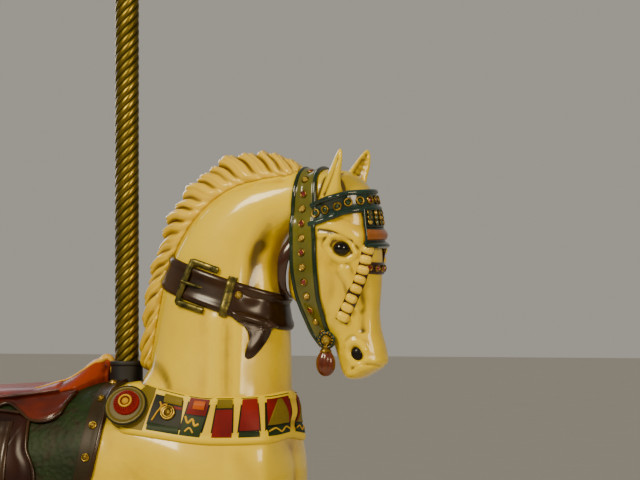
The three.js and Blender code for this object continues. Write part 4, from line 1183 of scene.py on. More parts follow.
# Face plate
# A carved tablet hangs from the browband down the forehead: a panel of jewels at the top, then a
# rounded rib, then a lip that stands away from the face. Red brown paint fills the rib.
PLATE_CENTRE = (468, 0, 1535)
red_brown_enamel = painted_carving("red_brown_enamel", "#200902", "#7a4210", "#a3661f", roughness=0.3)
plate_places = along_loop(PLATE_CENTRE, 0, -34, 34, 41, 80)
plate_bed = laid(head_tree, plate_places, samples=41, drop=30, ease=4)
plate_heights = np.interp(
    np.linspace(0, 1, 41),
    [0.0, 0.05, 0.10, 0.17, 0.20, 0.24, 0.36, 0.47, 0.50, 0.54, 0.60, 0.62, 1.0],
    [8, 16, 16, 10, 5, 11, 14, 10, 4, 5, 6, 6, 6])
for name, part, paint, nodes, slot in (
        ("carved_face_plate_rib", slice(8, 23), red_brown_enamel, ["face_plate"], "red_enamel"),
        ("face_plate_lip", slice(0, 9), green_edge_enamel, [], "teal_enamel"),
        ("face_plate_panel", slice(22, 41), green_edge_enamel, [], "teal_enamel")):
    bed = (plate_bed[0][:, part], plate_bed[1][:, part])
    piece(name, strap_of(bed, plate_heights[part]), paint, nodes)
plate_trim = [tube(line_on(plate_bed, np.linspace(0, 1, 41), over, lift), radius, 10)
              for over, lift, radius in ((0.19, 5, 3.2), (0.49, 5, 3.4), (0.56, 6, 2.2))]
plate_trim += [tube(line_on(plate_bed, side, np.linspace(0.05, 1, 39), 7), 3.2, 10) for side in (0, 1)]
piece("face_plate_trim", joined(*plate_trim), green_edge_enamel, smooth_angle=60)
plate_jewels, plate_cups = {"green": [], "amber": []}, []
for i, over in enumerate((0.66, 0.78, 0.9)):
    for j, along in enumerate((0.12, 0.31, 0.5, 0.69, 0.88)):
        spot, out = at_share(plate_bed, along, over, 7.6)
        kind = "amber" if (i + j) % 3 == 0 else "green"
        set_jewel(plate_jewels[kind], plate_cups, spot, out, 4.6, 3.4, 2.4, 16)
piece("face_plate_cups", joined(*plate_cups), aged_cast_brass)
jewels("face_plate_green_jewels", plate_jewels["green"], green_glass)
jewels("face_plate_amber_jewels", plate_jewels["amber"], amber_glass)


# Noseband
# A string of square beads in golden cream runs from under the face plate down to the bit on each
# side, carved with a dark strap behind it, and a jewelled band crosses the nose at its top.
BEAD_LINE = [
    (546, 1503), (540, 1485), (536, 1466), (530, 1446), (522, 1425), (513, 1405), (504, 1385), (494, 1365),
    (486, 1347),
]
BEADS = 8
BEAD_LENGTH, BEAD_WIDTH, BEAD_HEIGHT = 26, 19, 11
NOSE_CENTRE = (478, 0, 1466)
golden_bead_enamel = painted_carving("golden_bead_enamel", "#3a2402", "#c09c0c", "#d9bc30", roughness=0.32)
brown_strap_enamel = painted_carving("brown_strap_enamel", "#070302", "#1d0d06", "#331a0c", roughness=0.2)


def bead(long, wide, high, rings=7, around=24):
    """A bead that is a rounded square from above and bulges to its middle."""
    tilt = np.linspace(0, math.pi / 2, rings + 1)[:, None]
    reach = np.cos(tilt) ** 0.55
    reach[-1] = 0.02
    across, ahead = np.cos(turns(around)), np.sin(turns(around))
    corner = (np.abs(across) ** 3.2 + np.abs(ahead) ** 3.2) ** (-1 / 3.2)
    points = np.stack([wide / 2 * corner * reach * across, long / 2 * corner * reach * ahead,
                       high * np.sin(tilt) - 2 + 0 * corner], axis=2)
    return points.reshape(-1, 3) * MM, ring_faces(rings + 1, around, "capped")


beads, bead_straps = [], []
for side in (-1, 1):
    places = [((x - 14, 0, z), (0.35, side, 0), (0.9, 0, -0.45), 28) for x, z in evenly(BEAD_LINE, 40)]
    bead_bed = laid(head_tree, places, samples=7, drop=14, ease=3)
    bead_straps.append(strap_of(bead_bed, [0.5, 2, 2.5, 2, 0.5]))
    for k in range(BEADS):
        share = (k + 0.5) / BEADS
        spot, out = at_share(bead_bed, share, 0.5, 3)
        before, after = line_on(bead_bed, [max(share - 0.05, 0), min(share + 0.05, 1)], 0.5)
        size = 1 + 0.05 * rng.standard_normal()
        form = bead(BEAD_LENGTH * size, BEAD_WIDTH * size, BEAD_HEIGHT)
        beads.append(standing(form, spot, out, np.cross(after - before, out)))
piece("noseband_beads", joined(*beads), golden_bead_enamel, ["noseband"])
nose_bed = laid(head_tree, along_loop(NOSE_CENTRE, 8, -40, 40, 51, 24), samples=9, drop=14, ease=3)
bead_straps.append(strap_of(nose_bed, [3, 5, 4, 4, 4, 5, 3]))
piece("noseband_straps", joined(*bead_straps), brown_strap_enamel)
nose_jewels, nose_cups = [], []
for share in np.linspace(0.12, 0.88, 5):
    set_jewel(nose_jewels, nose_cups, *at_share(nose_bed, share, 0.5, 4.2), 6.0, 4.4, 3.2)
jewels("nose_jewels", nose_jewels, red_glass)
piece("nose_jewel_cups", joined(*nose_cups), aged_cast_brass)


# Bit rosettes and drop
# A round rosette covers the end of the bit on each side, with a jewel in a dark ring, and a carved
# drop like a fig hangs under the one on the right.
BIT = (457, 1309)
rosette_brass, rosette_jewels = [], []
rosette_disc = turned(rounded([
    (0.5, -8), (15, -8), (18.6, -2), (19, 4), (16.5, 8), (12.5, 6.5), (10.5, 3.5), (0.5, 3.5),
], 1.6), 40)
for name, side in (("right", -1), ("left", 1)):
    seat = np.array([BIT[0] - 1, side * 44, BIT[1]])
    out = np.array([0.12, side, -0.05])
    piece(f"bit_rosette_{name}_disc", standing(rosette_disc, seat, out), green_edge_enamel,
          [f"bit_rosette_{name}"])
    for x, z, _ in circle(14.4, 0, 14):
        grain = dome((0, 0, 0), (2.3, 2.3, 2.3), 8, 12)
        rosette_brass.append(standing(grain, seat + [x, side * 7.6, z], out))
    set_jewel(rosette_jewels, rosette_brass, seat + [0, side * 3.4, 0], out, 8.6, 6, 4.4, 28)
piece("bit_rosette_brass", joined(*rosette_brass), aged_cast_brass)
jewels("bit_rosette_jewels", rosette_jewels, amber_glass)

fig_enamel = painted_carving("varnished_fig_enamel", "#0d0301", "#2e1005", "#54220d", roughness=0.28)
DROP = np.array([455, -48, 1264])
fig_points, fig_faces = dome(DROP, (20.5, 16, 29), 40, 48)
from_middle = fig_points / MM - DROP
low = -from_middle[:, 2] / 29
swell = 1 + 0.10 * low - 0.16 * np.clip(-low, 0, 1) ** 2
crease = 1 - 0.05 * np.abs(np.cos(3.5 * np.arctan2(from_middle[:, 1], from_middle[:, 0]) + 0.8 * low)) ** 3
from_middle[:, :2] *= (swell * crease)[:, None]
fig_points = (from_middle + DROP) * MM
fig = piece("bit_drop_fig", (fig_points, fig_faces), fig_enamel, ["bit_drop"], 0)
# Painted shade in the fig's creases; the added share darkens the whole drop a little
paint_share(fig, "hollow", hollows(fig.data) + 0.05)
drop_cap = turned(rounded([(0.5, -3), (11, -6), (12.5, -2), (9, 3), (5, 6), (4.5, 14), (0.5, 14)], 1.5), 28)
piece("bit_drop_cap", standing(drop_cap, DROP + [0, 0, 25], (0.02, 0.01, 1), (0, 1, 0)), aged_cast_brass)


# Throat latch
# A dark brown strap that leaves the headstall behind the jaw and goes round under the throat.
LATCH_HALF = [
    (412, -55, 1562), (398, -51, 1534), (385, -54, 1510), (375, -60, 1492), (368, -63, 1472),
    (364, -60, 1450), (362, -54, 1428), (361, -42, 1409), (360, -21, 1398), (360, 0, 1395),
]
latch_line = through(LATCH_HALF + [(x, -y, z) for x, y, z in LATCH_HALF[-2::-1]], np.linspace(0, 1, 120))
latch_out = unit(np.cross(np.gradient(latch_line, axis=0), (1.0, 0, 0)))
latch_width = np.interp(latch_line[:, 2], [1400, 1440, 1480], [8.5, 9.5, 12.5])
latch_form = tube(latch_line, latch_width, 20, squash=0.48, flat=latch_out)
piece("carved_throat_latch", latch_form, brown_strap_enamel, ["throat_latch"], 60)


# Neck strap
# A wide strap carved round the neck in dark glossy brown, with a lip along each edge. On the right
# it has a cast buckle, a brass keeper, a jewelled stud and a curved hanging tip.
NECK_STRAP_CENTRE = (225, 0, 1408)
NECK_STRAP_LEAN = 18.4
STRAP_TIP = [
    (273, 1370), (266, 1360), (287, 1345), (300, 1327), (304, 1308), (302, 1289), (297, 1275), (301, 1270),
    (310, 1272), (320, 1283), (331, 1302), (340, 1321), (345, 1331), (358, 1336), (330, 1354), (298, 1366),
]
BUCKLE = [(243, 1449), (185, 1468), (154, 1384), (215, 1366)]

strap_leather = painted_carving("glossy_brown_strap_enamel", "#050301", "#1d0e03", "#352009", 0.2,
                                roughness=0.3, coat=0.45)
body_tree = tree_of(body_mesh)
strap_places = along_loop(NECK_STRAP_CENTRE, NECK_STRAP_LEAN, -180, 180, 181, 69)
strap_bed = laid(body_tree, strap_places[:-1], samples=19, drop=22, ease=3)
piece("carved_neck_strap", strap_of(strap_bed, [5, 8.5, 8, 6] + [5.5] * 5 + [6, 8, 8.5, 5], closed=True),
      strap_leather, ["neck_strap"], 60)


def draped(tree, outline, side, rings, times):
    """The surface inside an outline seen from the side, laid on the wood, ring by ring to its middle,
    and then smoothed along each ring."""
    corners = np.array(outline, float)
    corners = evenly(np.vstack([corners, corners[:1]]), 97)[:-1]
    middle = corners.mean(axis=0)
    points = np.zeros((rings, len(corners), 3))
    for k, share in enumerate(np.linspace(1, 0.02, rings)):
        for j, (x, z) in enumerate(middle + (corners - middle) * share):
            points[k, j] = landed(tree, (x, side * 40, z), (0, side, 0), 220)
    for _ in range(times):
        depth = points[:, :, 1]
        points[:, :, 1] = (2 * depth + np.roll(depth, 1, 1) + np.roll(depth, -1, 1)) / 4
    return points


def slab(rings, lifts, out, sunk=4):
    """A thin carved piece on its rings: lifted towards its middle by the given heights in mm."""
    out = unit(out)
    lifts = np.interp(np.linspace(0, 1, len(rings)), np.linspace(0, 1, len(lifts)), lifts)
    rows = np.concatenate([rings[:1] - out * sunk, rings + out * lifts[:, None, None]])
    return rows.reshape(-1, 3) * MM, ring_faces(len(rows), rows.shape[1], "capped")


# The hanging tip is carved over the strap and stands a little prouder
over_strap_tree = tree_of(body_mesh, bpy.data.objects["carved_neck_strap"].data)
tip_rings = draped(over_strap_tree, STRAP_TIP, -1, 16, 3)
tip_rings[:, :, 1] = np.minimum(tip_rings[:, :, 1], tip_rings[:, :, 1].mean() + 14)
piece("carved_strap_tip", slab(tip_rings, [0, 4, 6, 6.5, 6, 5.5, 5.5, 5.5], (0.1, -1, 0.05), 10),
      strap_leather, ["strap_tip"], 50)

# The buckle is cast brass gone brown and green: a square frame and a tongue
m, place = new_material("cast_bronze_gone_green")
patina = add(m, "TexNoise", {"Vector": place, "Scale": 60.0, "Detail": 8.0, "Roughness": 0.7})
tone = add(m, "MapRange", {"Value": patina, 1: 0.38, 2: 0.62})
bronze_green = surface(m, add(m, "BsdfPrincipled", {
    "Base Color": two_tones(m, tone, "#22260f", "#6f6430"),
    "Metallic": 0.85,
    "Roughness": add(m, "MapRange", {"Value": tone, 3: 0.55, 4: 0.34}),
    "Normal": add(m, "Bump", {"Strength": 0.3, "Distance": 0.0004, "Height": patina}),
}))


def on_strap(x, z, lift):
    return landed(over_strap_tree, (x, -60, z), (-0.1, -1, 0.05), 200) + np.array([0, -lift, 0])


frame_line = np.concatenate([
    np.linspace(a, b, 18, endpoint=False) for a, b in zip(BUCKLE[:-1], BUCKLE[1:])] + [BUCKLE[-1:]])
frame_line = np.array([on_strap(x, z, 6) for x, z in evenly(frame_line, 60)])
depth = frame_line[:, 1].copy()
for _ in range(30):
    depth[1:-1] = (depth[1:-1] + np.minimum((depth[:-2] + depth[2:]) / 2, depth[1:-1] + 0.6)) / 2
frame_line[:, 1] = np.minimum(depth, frame_line[:, 1].mean() + 12)
hinge = frame_line[29]
tongue_line = through(hinge + [(-4, -3, 1), (14, -6, -5), (34, -3, -11), (42, 4, -14)],
                      np.linspace(0, 1, 14))
buckle = joined(
    tube(frame_line, 6.8, 14, squash=0.62, flat=(0, 1, 0)),
    tube(tongue_line, np.linspace(4.2, 2.8, 14), 10),
)
piece("cast_strap_buckle", buckle, bronze_green, ["strap_buckle"], 50)

# The keeper is a brass loop over the strap, and beside it an amber jewel sits in a gold stud
keeper_places = along_side([(269, 1437, 18), (261, 1397, 18), (252, 1358, 18)], -1, 30)
keeper_bed = laid(over_strap_tree, keeper_places, samples=9, drop=14, ease=5)
piece("brass_strap_keeper", strap_of(keeper_bed, [2, 4.5, 5, 5, 5, 4.5, 2]), bronze_green,
      ["strap_keeper"])
stud_jewel, stud_cup = [], []
set_jewel(stud_jewel, stud_cup, on_strap(286, 1399, 1), (0.15, -1, 0.05), 6.5, 5, 4, 28)
piece("strap_stud", joined(*stud_cup), aged_cast_brass)
jewels("strap_stud_jewel", stud_jewel, amber_glass)


# Breast collar
# A deep cream band carved round the chest from shoulder to shoulder. Sunk windows between slanted
# bars are painted red, green and gold inside dark outlines, with a boss behind the shoulder.
COLLAR_HEIGHT = 1145
COLLAR_WIDTH = 98
panel_colours = {
    name: painted_carving(f"{name}_panel_enamel", deep, base, light, 0.3, 0.35, 0.62, 0.06, 1.4)
    for name, deep, base, light in [
        ("red", "#1c0203", "#520605", "#7a0d08"), ("green", "#030803", "#101c08", "#1f3010"),
        ("khaki", "#2a2004", "#5c500a", "#726212"), ("orange", "#4a1804", "#9a440c", "#c06a1a"),
        ("gold", "#3c2803", "#a07a10", "#c8a028"),
    ]
}
outline_enamel = painted_carving("black_green_outline_enamel", "#020302", "#0b0f06", "#18190a", 0.3,
                                 roughness=0.62, coat=0.06)
collar_cream_enamel = painted_carving("collar_cream_enamel", "#54430a", "#ba9902", "#d0b40c", 0.3,
                                      roughness=0.45, coat=0.15)


def collar_rise(angle):
    """The collar sags in the middle of each side and climbs to the chest and the shoulders."""
    turn = abs(angle)
    return 11 * math.exp(-(turn / 0.5) ** 2) + 24 * np.clip((turn - 1.3) / 1.05, 0, 1.2) ** 1.6


collar_places = along_loop((205, 0, COLLAR_HEIGHT), 0, -133, 133, 221, COLLAR_WIDTH, collar_rise)
collar_bed = laid(body_tree, collar_places, samples=25, drop=90, ease=9, bridged=True)
collar = piece("carved_breast_collar",
               strap_of(collar_bed, [2.5, 8.2] + [7.4] * 14 + [8.2, 2.5]), collar_cream_enamel,
               ["breast_collar"], 50)
# Painted shade in the collar's hollows, at four fifths of their depth
paint_share(collar, "hollow", hollows(collar.data, 4) * 0.8)
collar_run = run_of(collar_bed[0][:, 12])


def on_collar(run, up, lift):
    """A point on the collar: mm along it from the middle of the chest, and mm up from its middle."""
    share = np.interp(run + collar_run[-1] / 2, collar_run, np.linspace(0, 1, len(collar_run)))
    return at_share(collar_bed, share, 0.5 + up / COLLAR_WIDTH, lift)


def patch(side, corners, lift, high, grain=6):
    """A four-sided panel on one side of the collar, from its corners as mm along and mm up."""
    (a, b, c, d) = (np.array(corner, float) * [side, 1] for corner in corners)
    long = max(2, int(max(np.linalg.norm(b - a), np.linalg.norm(c - d)) / grain) + 2)
    tall = max(2, int(max(np.linalg.norm(d - a), np.linalg.norm(c - b)) / grain) + 2)
    points, normals = np.zeros((long, tall, 3)), np.zeros((long, tall, 3))
    for i, s in enumerate(np.linspace(0, 1, long)):
        for j, t in enumerate(np.linspace(0, 1, tall)):
            run, up = (a * (1 - s) + b * s) * (1 - t) + (d * (1 - s) + c * s) * t
            points[i, j], normals[i, j] = on_collar(run, up, lift)
    return strap_of((points, normals), [high * 0.4, high, high, high * 0.4], sunk=1)


# Windows as mm along from the middle of the chest: top back, top front, bottom front, bottom back
WINDOWS = {
    "end": (398, 354, 339, 384), "back": (349, 271, 268, 334), "orange": (258, 206, 228, 273),
    "khaki": (197, 160, 166, 211), "red": (145, 107, 114, 160), "front": (92, 19, 10, 108),
}
TOP, BOTTOM = 45, -39
forms = {name: [] for name in panel_colours}
outlines, bosses, scrolls = [], [], []
for side in (-1, 1):
    def field(name, colour, low, high, lift=7.8, thick=1.6, base=(0.07, 0.93), head=None):
        """Part of a window, between two heights, in one colour. Its foot and head are shares of
        the window's length."""
        tb, tf, bf, bb = WINDOWS[name]
        head = head or base
        corners = []
        for along, up in ((base[0], low), (base[1], low), (head[1], high), (head[0], high)):
            share = (up - BOTTOM) / (TOP - BOTTOM)
            back_run, front_run = bb + (tb - bb) * share, bf + (tf - bf) * share
            corners.append((back_run + (front_run - back_run) * along, up))
        (outlines if colour is None else forms[colour]).append(patch(side, corners, lift, thick))

    def scroll(name, places, width=1.9):
        """A painted gold line inside a window, from shares of its length and mm up."""
        tb, tf, bf, bb = WINDOWS[name]
        line = through([(bb + (bf - bb) * along, up) for along, up in places],
                       np.linspace(0, 1, 8 * len(places)))
        scrolls.append(tube([on_collar(side * run, up, 9)[0] for run, up in line], width, 8))

    for name in WINDOWS:
        field(name, None, BOTTOM, TOP, 6.6, 1.2, (0, 1))
    field("end", "khaki", BOTTOM, TOP, 7.4, 1.6, (0, 1))
    field("back", "khaki", 21, 38, 8.2, 2.6, (0.36, 0.97))
    field("back", "red", 13, 18, base=(0.3, 0.97))
    field("back", "green", -36, -22, base=(0.04, 0.96))
    field("orange", "red", 8, 42)
    field("orange", "orange", 19, 36, 8.8, 3.8, (0.3, 0.8))
    field("orange", "green", -36, 5)
    scroll("orange", [(0.26, 2), (0.4, -10), (0.6, -2), (0.72, -14), (0.9, -10)], 2.6)
    scroll("orange", [(0.3, -28), (0.5, -20), (0.66, -29)], 1.8)
    field("khaki", "khaki", 24, 42, 7.8, 3)
    field("khaki", "red", -35, 21)
    field("red", "red", -22, 42, 7.8, 2.4)
    field("red", "green", -35, -25)
    field("front", "red", -14, 39)
    field("front", "khaki", -14, 36, 8.8, 2.6, (0.06, 0.86), (0.46, 0.6))
    field("front", "green", -35, -17)
    scroll("front", [(0.1, -26), (0.3, -21), (0.5, -29), (0.7, -22), (0.9, -28)])
    tb, tf, bf, bb = WINDOWS["back"]
    spot, out = on_collar(side * (tb + tf + bf + bb - 20) / 4, 3, 7)
    boss = rounded([(0.5, -2), (17, -2), (17, 3), (14.5, 6), (11, 4.5), (8.5, 4), (6.5, 8), (0.5, 9.5)], 1.5)
    bosses.append(standing(turned(boss, 40), spot, out))
    scroll("back", [(0.08, -18), (0.16, 2), (0.3, 16), (0.42, 18)])
    scroll("back", [(0.12, 20), (0.22, 12), (0.26, 2)])
piece("breast_collar_window_outlines", joined(*outlines), outline_enamel)
for name, shapes in forms.items():
    if shapes:
        piece(f"breast_collar_{name}_panels", joined(*shapes), panel_colours[name])
piece("breast_collar_bosses", joined(*bosses), aged_cast_brass)
piece("breast_collar_scrolls", joined(*scrolls), panel_colours["gold"], smooth_angle=60)


# Shoulder rosettes
# A round carving at each end of the breast collar: a khaki disc with a dark rim, a fluted red ring
# like a cockade on it, and a gold ring round a gold heart.
ROSETTE = (61, 1169)
ROSETTE_RADIUS = 44
khaki_disc_enamel = painted_carving("khaki_disc_enamel", "#1c1603", "#3f3708", "#54490c", 0.25,
                                    roughness=0.5, coat=0.2)


def polar(radius, rings, around, height, low):
    """A round relief: its height in mm is a function of the share out from the middle and the turn."""
    points = []
    for share in 1 - np.arange(rings + 1) / rings:
        for turn in turns(around):
            lift = height(share, turn) if share < 1 else low
            points.append((radius * share * math.cos(turn), radius * share * math.sin(turn), lift))
    return np.array(points) * MM, ring_faces(rings + 1, around) + [tuple(range(around))[::-1]]


def disc_height(share, turn):
    """A flat disc with a round lip at its edge."""
    return 15 + 2.5 * math.sin(min(1, (1 - share) * 5) * math.pi)


def cockade_height(share, turn):
    """A ring of thirteen flutes on each half turn, that swells and falls to its middle."""
    flute = 0.72 + 0.28 * abs(math.cos(13 * turn)) * min(1, share * 1.4)
    return 15.5 + 9 * math.sin(min(1, (1 - share) * 1.9) * math.pi * 0.62) * flute


def heart_height(share, turn):
    """A low button."""
    return 22 + 4.5 * (1 - share * share)


shoulder_tree = tree_of(body_mesh, collar.data)
for name, side in (("right", -1), ("left", 1)):
    under = np.array([
        landed(shoulder_tree, (ROSETTE[0] + x, side * 100, ROSETTE[1] + z), (0, side, 0), 200)
        for reach in (20, 42) for x, z, _ in circle(reach, 0, 24)
    ])
    out = np.array([0.05, side * 0.88, 0.47])
    seat = under.mean(axis=0) + out * (((under - under.mean(axis=0)) @ out).max() - 11)
    flower_seat = seat + [1.5, 0, 6.0]
    disc = piece(f"shoulder_rosette_{name}_disc",
                 standing(polar(ROSETTE_RADIUS, 22, 96, disc_height, -22), seat, out),
                 khaki_disc_enamel, [f"shoulder_rosette_{name}"])
    # Painted shade in the disc's hollows, at half their depth
    paint_share(disc, "hollow", hollows(disc.data, 3) * 0.5)
    rim = tube(circle(ROSETTE_RADIUS - 0.5, 15, 72), 1.7, 8, closed=True)
    piece(f"shoulder_rosette_{name}_rim", standing(rim, seat, out), outline_enamel,
          smooth_angle=60)
    flower = piece(f"shoulder_rosette_{name}_petals",
                   standing(polar(28, 24, 192, cockade_height, 11), flower_seat, out),
                   panel_colours["red"], smooth_angle=60)
    # Painted shade in the petals' hollows, at four fifths of their depth
    paint_share(flower, "hollow", hollows(flower.data, 3) * 0.8)
    ring = tube(circle(12.5, 23.5, 48), 2.3, 10, closed=True)
    heart = polar(8, 10, 48, heart_height, 19)
    piece(f"shoulder_rosette_{name}_heart", standing(joined(ring, heart), flower_seat, out),
          panel_colours["gold"], smooth_angle=60)


# Pole collars
# Black rubber collars stop the pole from chafing the wood where it passes through the withers and
# the belly.
COLLAR_RADIUS = 35

m, place = new_material("moulded_black_rubber")
dust = add(m, "TexNoise", {"Vector": place, "Scale": 45.0, "Detail": 7.0})
moulded_black_rubber = surface(m, add(m, "BsdfPrincipled", {
    "Base Color": two_tones(m, dust, "#040405", "#131315"),
    "Roughness": add(m, "MapRange", {"Value": dust, 3: 0.45, 4: 0.7}),
    "Normal": add(m, "Bump", {"Strength": 0.2, "Distance": 0.0003, "Height": dust}),
}))
for name, bottom, top in (("withers", 1205, 1263), ("belly", 735, 790)):
    profile = rounded([
        (POLE_RADIUS + 0.6, bottom), (COLLAR_RADIUS, bottom), (COLLAR_RADIUS, bottom + 8),
        (COLLAR_RADIUS - 2, bottom + 10), (COLLAR_RADIUS - 2, top - 10), (COLLAR_RADIUS, top - 8),
        (COLLAR_RADIUS, top), (POLE_RADIUS + 0.6, top),
    ], 3)
    piece(f"rubber_collar_{name}", turned(profile, 72), moulded_black_rubber, [f"{name}_collar"])


# Saddle cloth
# Carved on the trunk as a thin raised sheet and painted dark green, with a pricked pattern, a
# rolled edge and gold studs along its border.
CLOTH_FRONT = np.array([
    (-130, 896), (-70, 908), (-36, 938), (-14, 990), (0, 1047), (8, 1093), (12, 1130), (13, 1196),
    (14, 1300),
])
CLOTH_BACK = np.array([(-330, 896), (-404, 918), (-430, 955), (-440, 1040), (-440, 1300)])
CLOTH_ROWS = 150
CLOTH_STUD_STEP = 68
TRUNK_AXIS = 990
TRUNK_RADIUS = 196

# Green paint stippled over brown, so that the cloth looks woven and worn from a distance
dark_green_cloth_enamel = painted_carving("dark_green_cloth_enamel", "#020401", "#0a1404", "#1a2b0b",
                                          roughness=0.6, varnish=0.35, coat=0.1)
m = dark_green_cloth_enamel
paint = next(n for n in m.node_tree.nodes if n.type == "BSDF_PRINCIPLED")
place = add(m, "TexCoord").outputs["Object"]
patches = add(m, "TexNoise", {"Vector": place, "Scale": 26.0, "Detail": 7.0, "Roughness": 0.7})
brown = add(m, "MapRange", {"Value": patches, 1: 0.5, 2: 0.68})
green = paint.inputs["Base Color"].links[0].from_socket
m.node_tree.links.new(two_tones(m, brown, green, "#1f1407"), paint.inputs["Base Color"])
cells = add(m, "TexVoronoi", {"Vector": place, "Scale": 95.0}, feature="SMOOTH_F1")
weave = add(m, "Bump", {"Strength": 1.0, "Distance": 0.0030, "Height": cells})
m.node_tree.links.new(weave.outputs[0], paint.inputs["Normal"])

cloth_places = []
for angle in np.radians(np.linspace(-120, 120, CLOTH_ROWS)):
    z = TRUNK_AXIS + TRUNK_RADIUS * math.cos(angle)
    front_x, back_x = (np.interp(z, edge[:, 1], edge[:, 0]) for edge in (CLOTH_FRONT, CLOTH_BACK))
    cloth_places.append((((front_x + back_x) / 2, 0, TRUNK_AXIS), (0, math.sin(angle), math.cos(angle)),
                         (-1, 0, 0), front_x - back_x))
cloth_bed = laid(body_tree, cloth_places, samples=61, drop=60, ease=3)
piece("carved_saddle_cloth", strap_of(cloth_bed, [3, 6, 6.5] + [6] * 9 + [6.5, 6, 3]),
      dark_green_cloth_enamel, ["saddle_cloth"], 50)
border_brown = painted_carving("brown_cloth_border_enamel", "#060401", "#1a1203", "#2b2008", 0.3,
                               roughness=0.5, coat=0.1, ripple_mm=1.5)
borders = [strap_of((cloth_bed[0][:, part], cloth_bed[1][:, part]), [7, 8, 7.6, 7.6, 8.2, 8.2], sunk=1)
           for part in (slice(0, 6), slice(60, 54, -1))]
piece("saddle_cloth_borders", joined(*borders), border_brown, smooth_angle=50)
down, over = np.linspace(0, 1, CLOTH_ROWS), np.linspace(0, 1, 31)[1:-1]
cloth_rim = np.concatenate([
    line_on(cloth_bed, down, 0.006, 4.5), line_on(cloth_bed, 1, over, 4.5),
    line_on(cloth_bed, 1 - down, 0.994, 4.5), line_on(cloth_bed, 0, 1 - over, 4.5),
])
piece("saddle_cloth_rolled_edge", tube(cloth_rim, 4.6, 10, closed=True), strap_leather,
      smooth_angle=60)
cloth_stud = turned(rounded([
    (0.4, -1), (9.5, -1), (9.5, 1.5), (8, 3.5), (6.4, 2.4), (5, 5), (0.4, 7),
], 1), 16)
cloth_studs = []
for over in (0.045, 0.955):
    run = run_of(line_on(cloth_bed, down, over))
    for k in range(int(run[-1] / CLOTH_STUD_STEP) + 1):
        share = np.interp((k + 0.5) * CLOTH_STUD_STEP, run, down)
        cloth_studs.append(standing(cloth_stud, *at_share(cloth_bed, share, over, 7.5)))
piece("saddle_cloth_studs", joined(*cloth_studs), aged_cast_brass)


# Saddle
# Carved as one with the back and painted glossy red brown: a dished seat, a pommel that curls up to
# a lip, and a high cantle with a gilded roll along its edge.
SEAT_TOP = [
    (-36, 1256), (-50, 1268), (-66, 1268), (-84, 1254), (-112, 1234), (-142, 1223), (-185, 1213),
    (-230, 1207), (-290, 1208), (-336, 1236), (-368, 1274), (-390, 1289),
]
SEAT_WIDTH = np.array([
    (-40, 16), (-52, 40), (-66, 62), (-84, 84), (-112, 98), (-142, 104), (-185, 108), (-230, 112),
    (-290, 117), (-336, 115), (-368, 108), (-390, 98),
])
SEAT_ROWS, SEAT_COLUMNS = 120, 71
red_brown_leather = painted_carving("glossy_red_brown_saddle_enamel", "#170401", "#4a1002", "#7e2a04",
                                    roughness=0.42, coat=0.18)
cloth_tree = tree_of(body_mesh, bpy.data.objects["carved_saddle_cloth"].data)
seat_line = evenly(SEAT_TOP, SEAT_ROWS)
seat_width = np.interp(-seat_line[:, 0], -SEAT_WIDTH[:, 0], SEAT_WIDTH[:, 1])
v = np.linspace(-1, 1, SEAT_COLUMNS)
seat_points = np.zeros((SEAT_ROWS, SEAT_COLUMNS + 2, 3))
for i, (x, z) in enumerate(seat_line):
    under = []
    for share in v:
        hit = cloth_tree.ray_cast(Vector((x, share * seat_width[i], 1400)) * MM, Vector((0, 0, -1)), 1.0)[0]
        under.append(hit[2] / MM if hit is not None else TRUNK_AXIS + TRUNK_RADIUS)
    under = np.minimum(np.array(under), 1222)
    cantle = np.clip((z - 1215) / 60, 0, 1) * (x < -250)
    edge_z = under[0] + 13
    steep = 2.0 + 2.2 * cantle - 0.6 * np.clip((x + 130) / 60, 0, 1)
    profile = edge_z + (z - edge_z) * (1 - np.abs(v) ** steep)
    profile += 5 * (1 - cantle) * np.abs(v) ** 1.5 * (1 - np.abs(v) ** 4) * (x < -120)
    profile = np.maximum(profile, under + 12)
    flare = np.clip((-x - 300) / 90, 0, 1)
    seat_points[i, 1:-1, 0] = x - 14 * cantle * (1 - v ** 2) + 34 * np.abs(v) ** 2.5 * flare
    seat_points[i, 1:-1, 1] = v * seat_width[i]
    seat_points[i, 1:-1, 2] = profile
    seat_points[i, 0] = [x, -seat_width[i] + 6, under[0] - 8]
    seat_points[i, -1] = [x, seat_width[i] - 6, under[-1] - 8]
curl = through([(-84, 0, 1238), (-66, 0, 1254), (-52, 0, 1260), (-41, 0, 1260), (-36, 0, 1251)],
               np.linspace(0, 1, 20))
saddle_mesh = fused([
    (seat_points.reshape(-1, 3) * MM, ring_faces(SEAT_ROWS, SEAT_COLUMNS + 2, "capped")),
    tube(curl, np.linspace(15, 6.5, 20), 20, flat=(0, 1, 0)),
    tube(seat_points[-3, 1:-1][7:-7] + [-3, 0, -3], 10, 14),
], 3.2)
sanded(saddle_mesh, 4)
shown("carved_saddle", saddle_mesh, red_brown_leather, ["saddle_seat"])
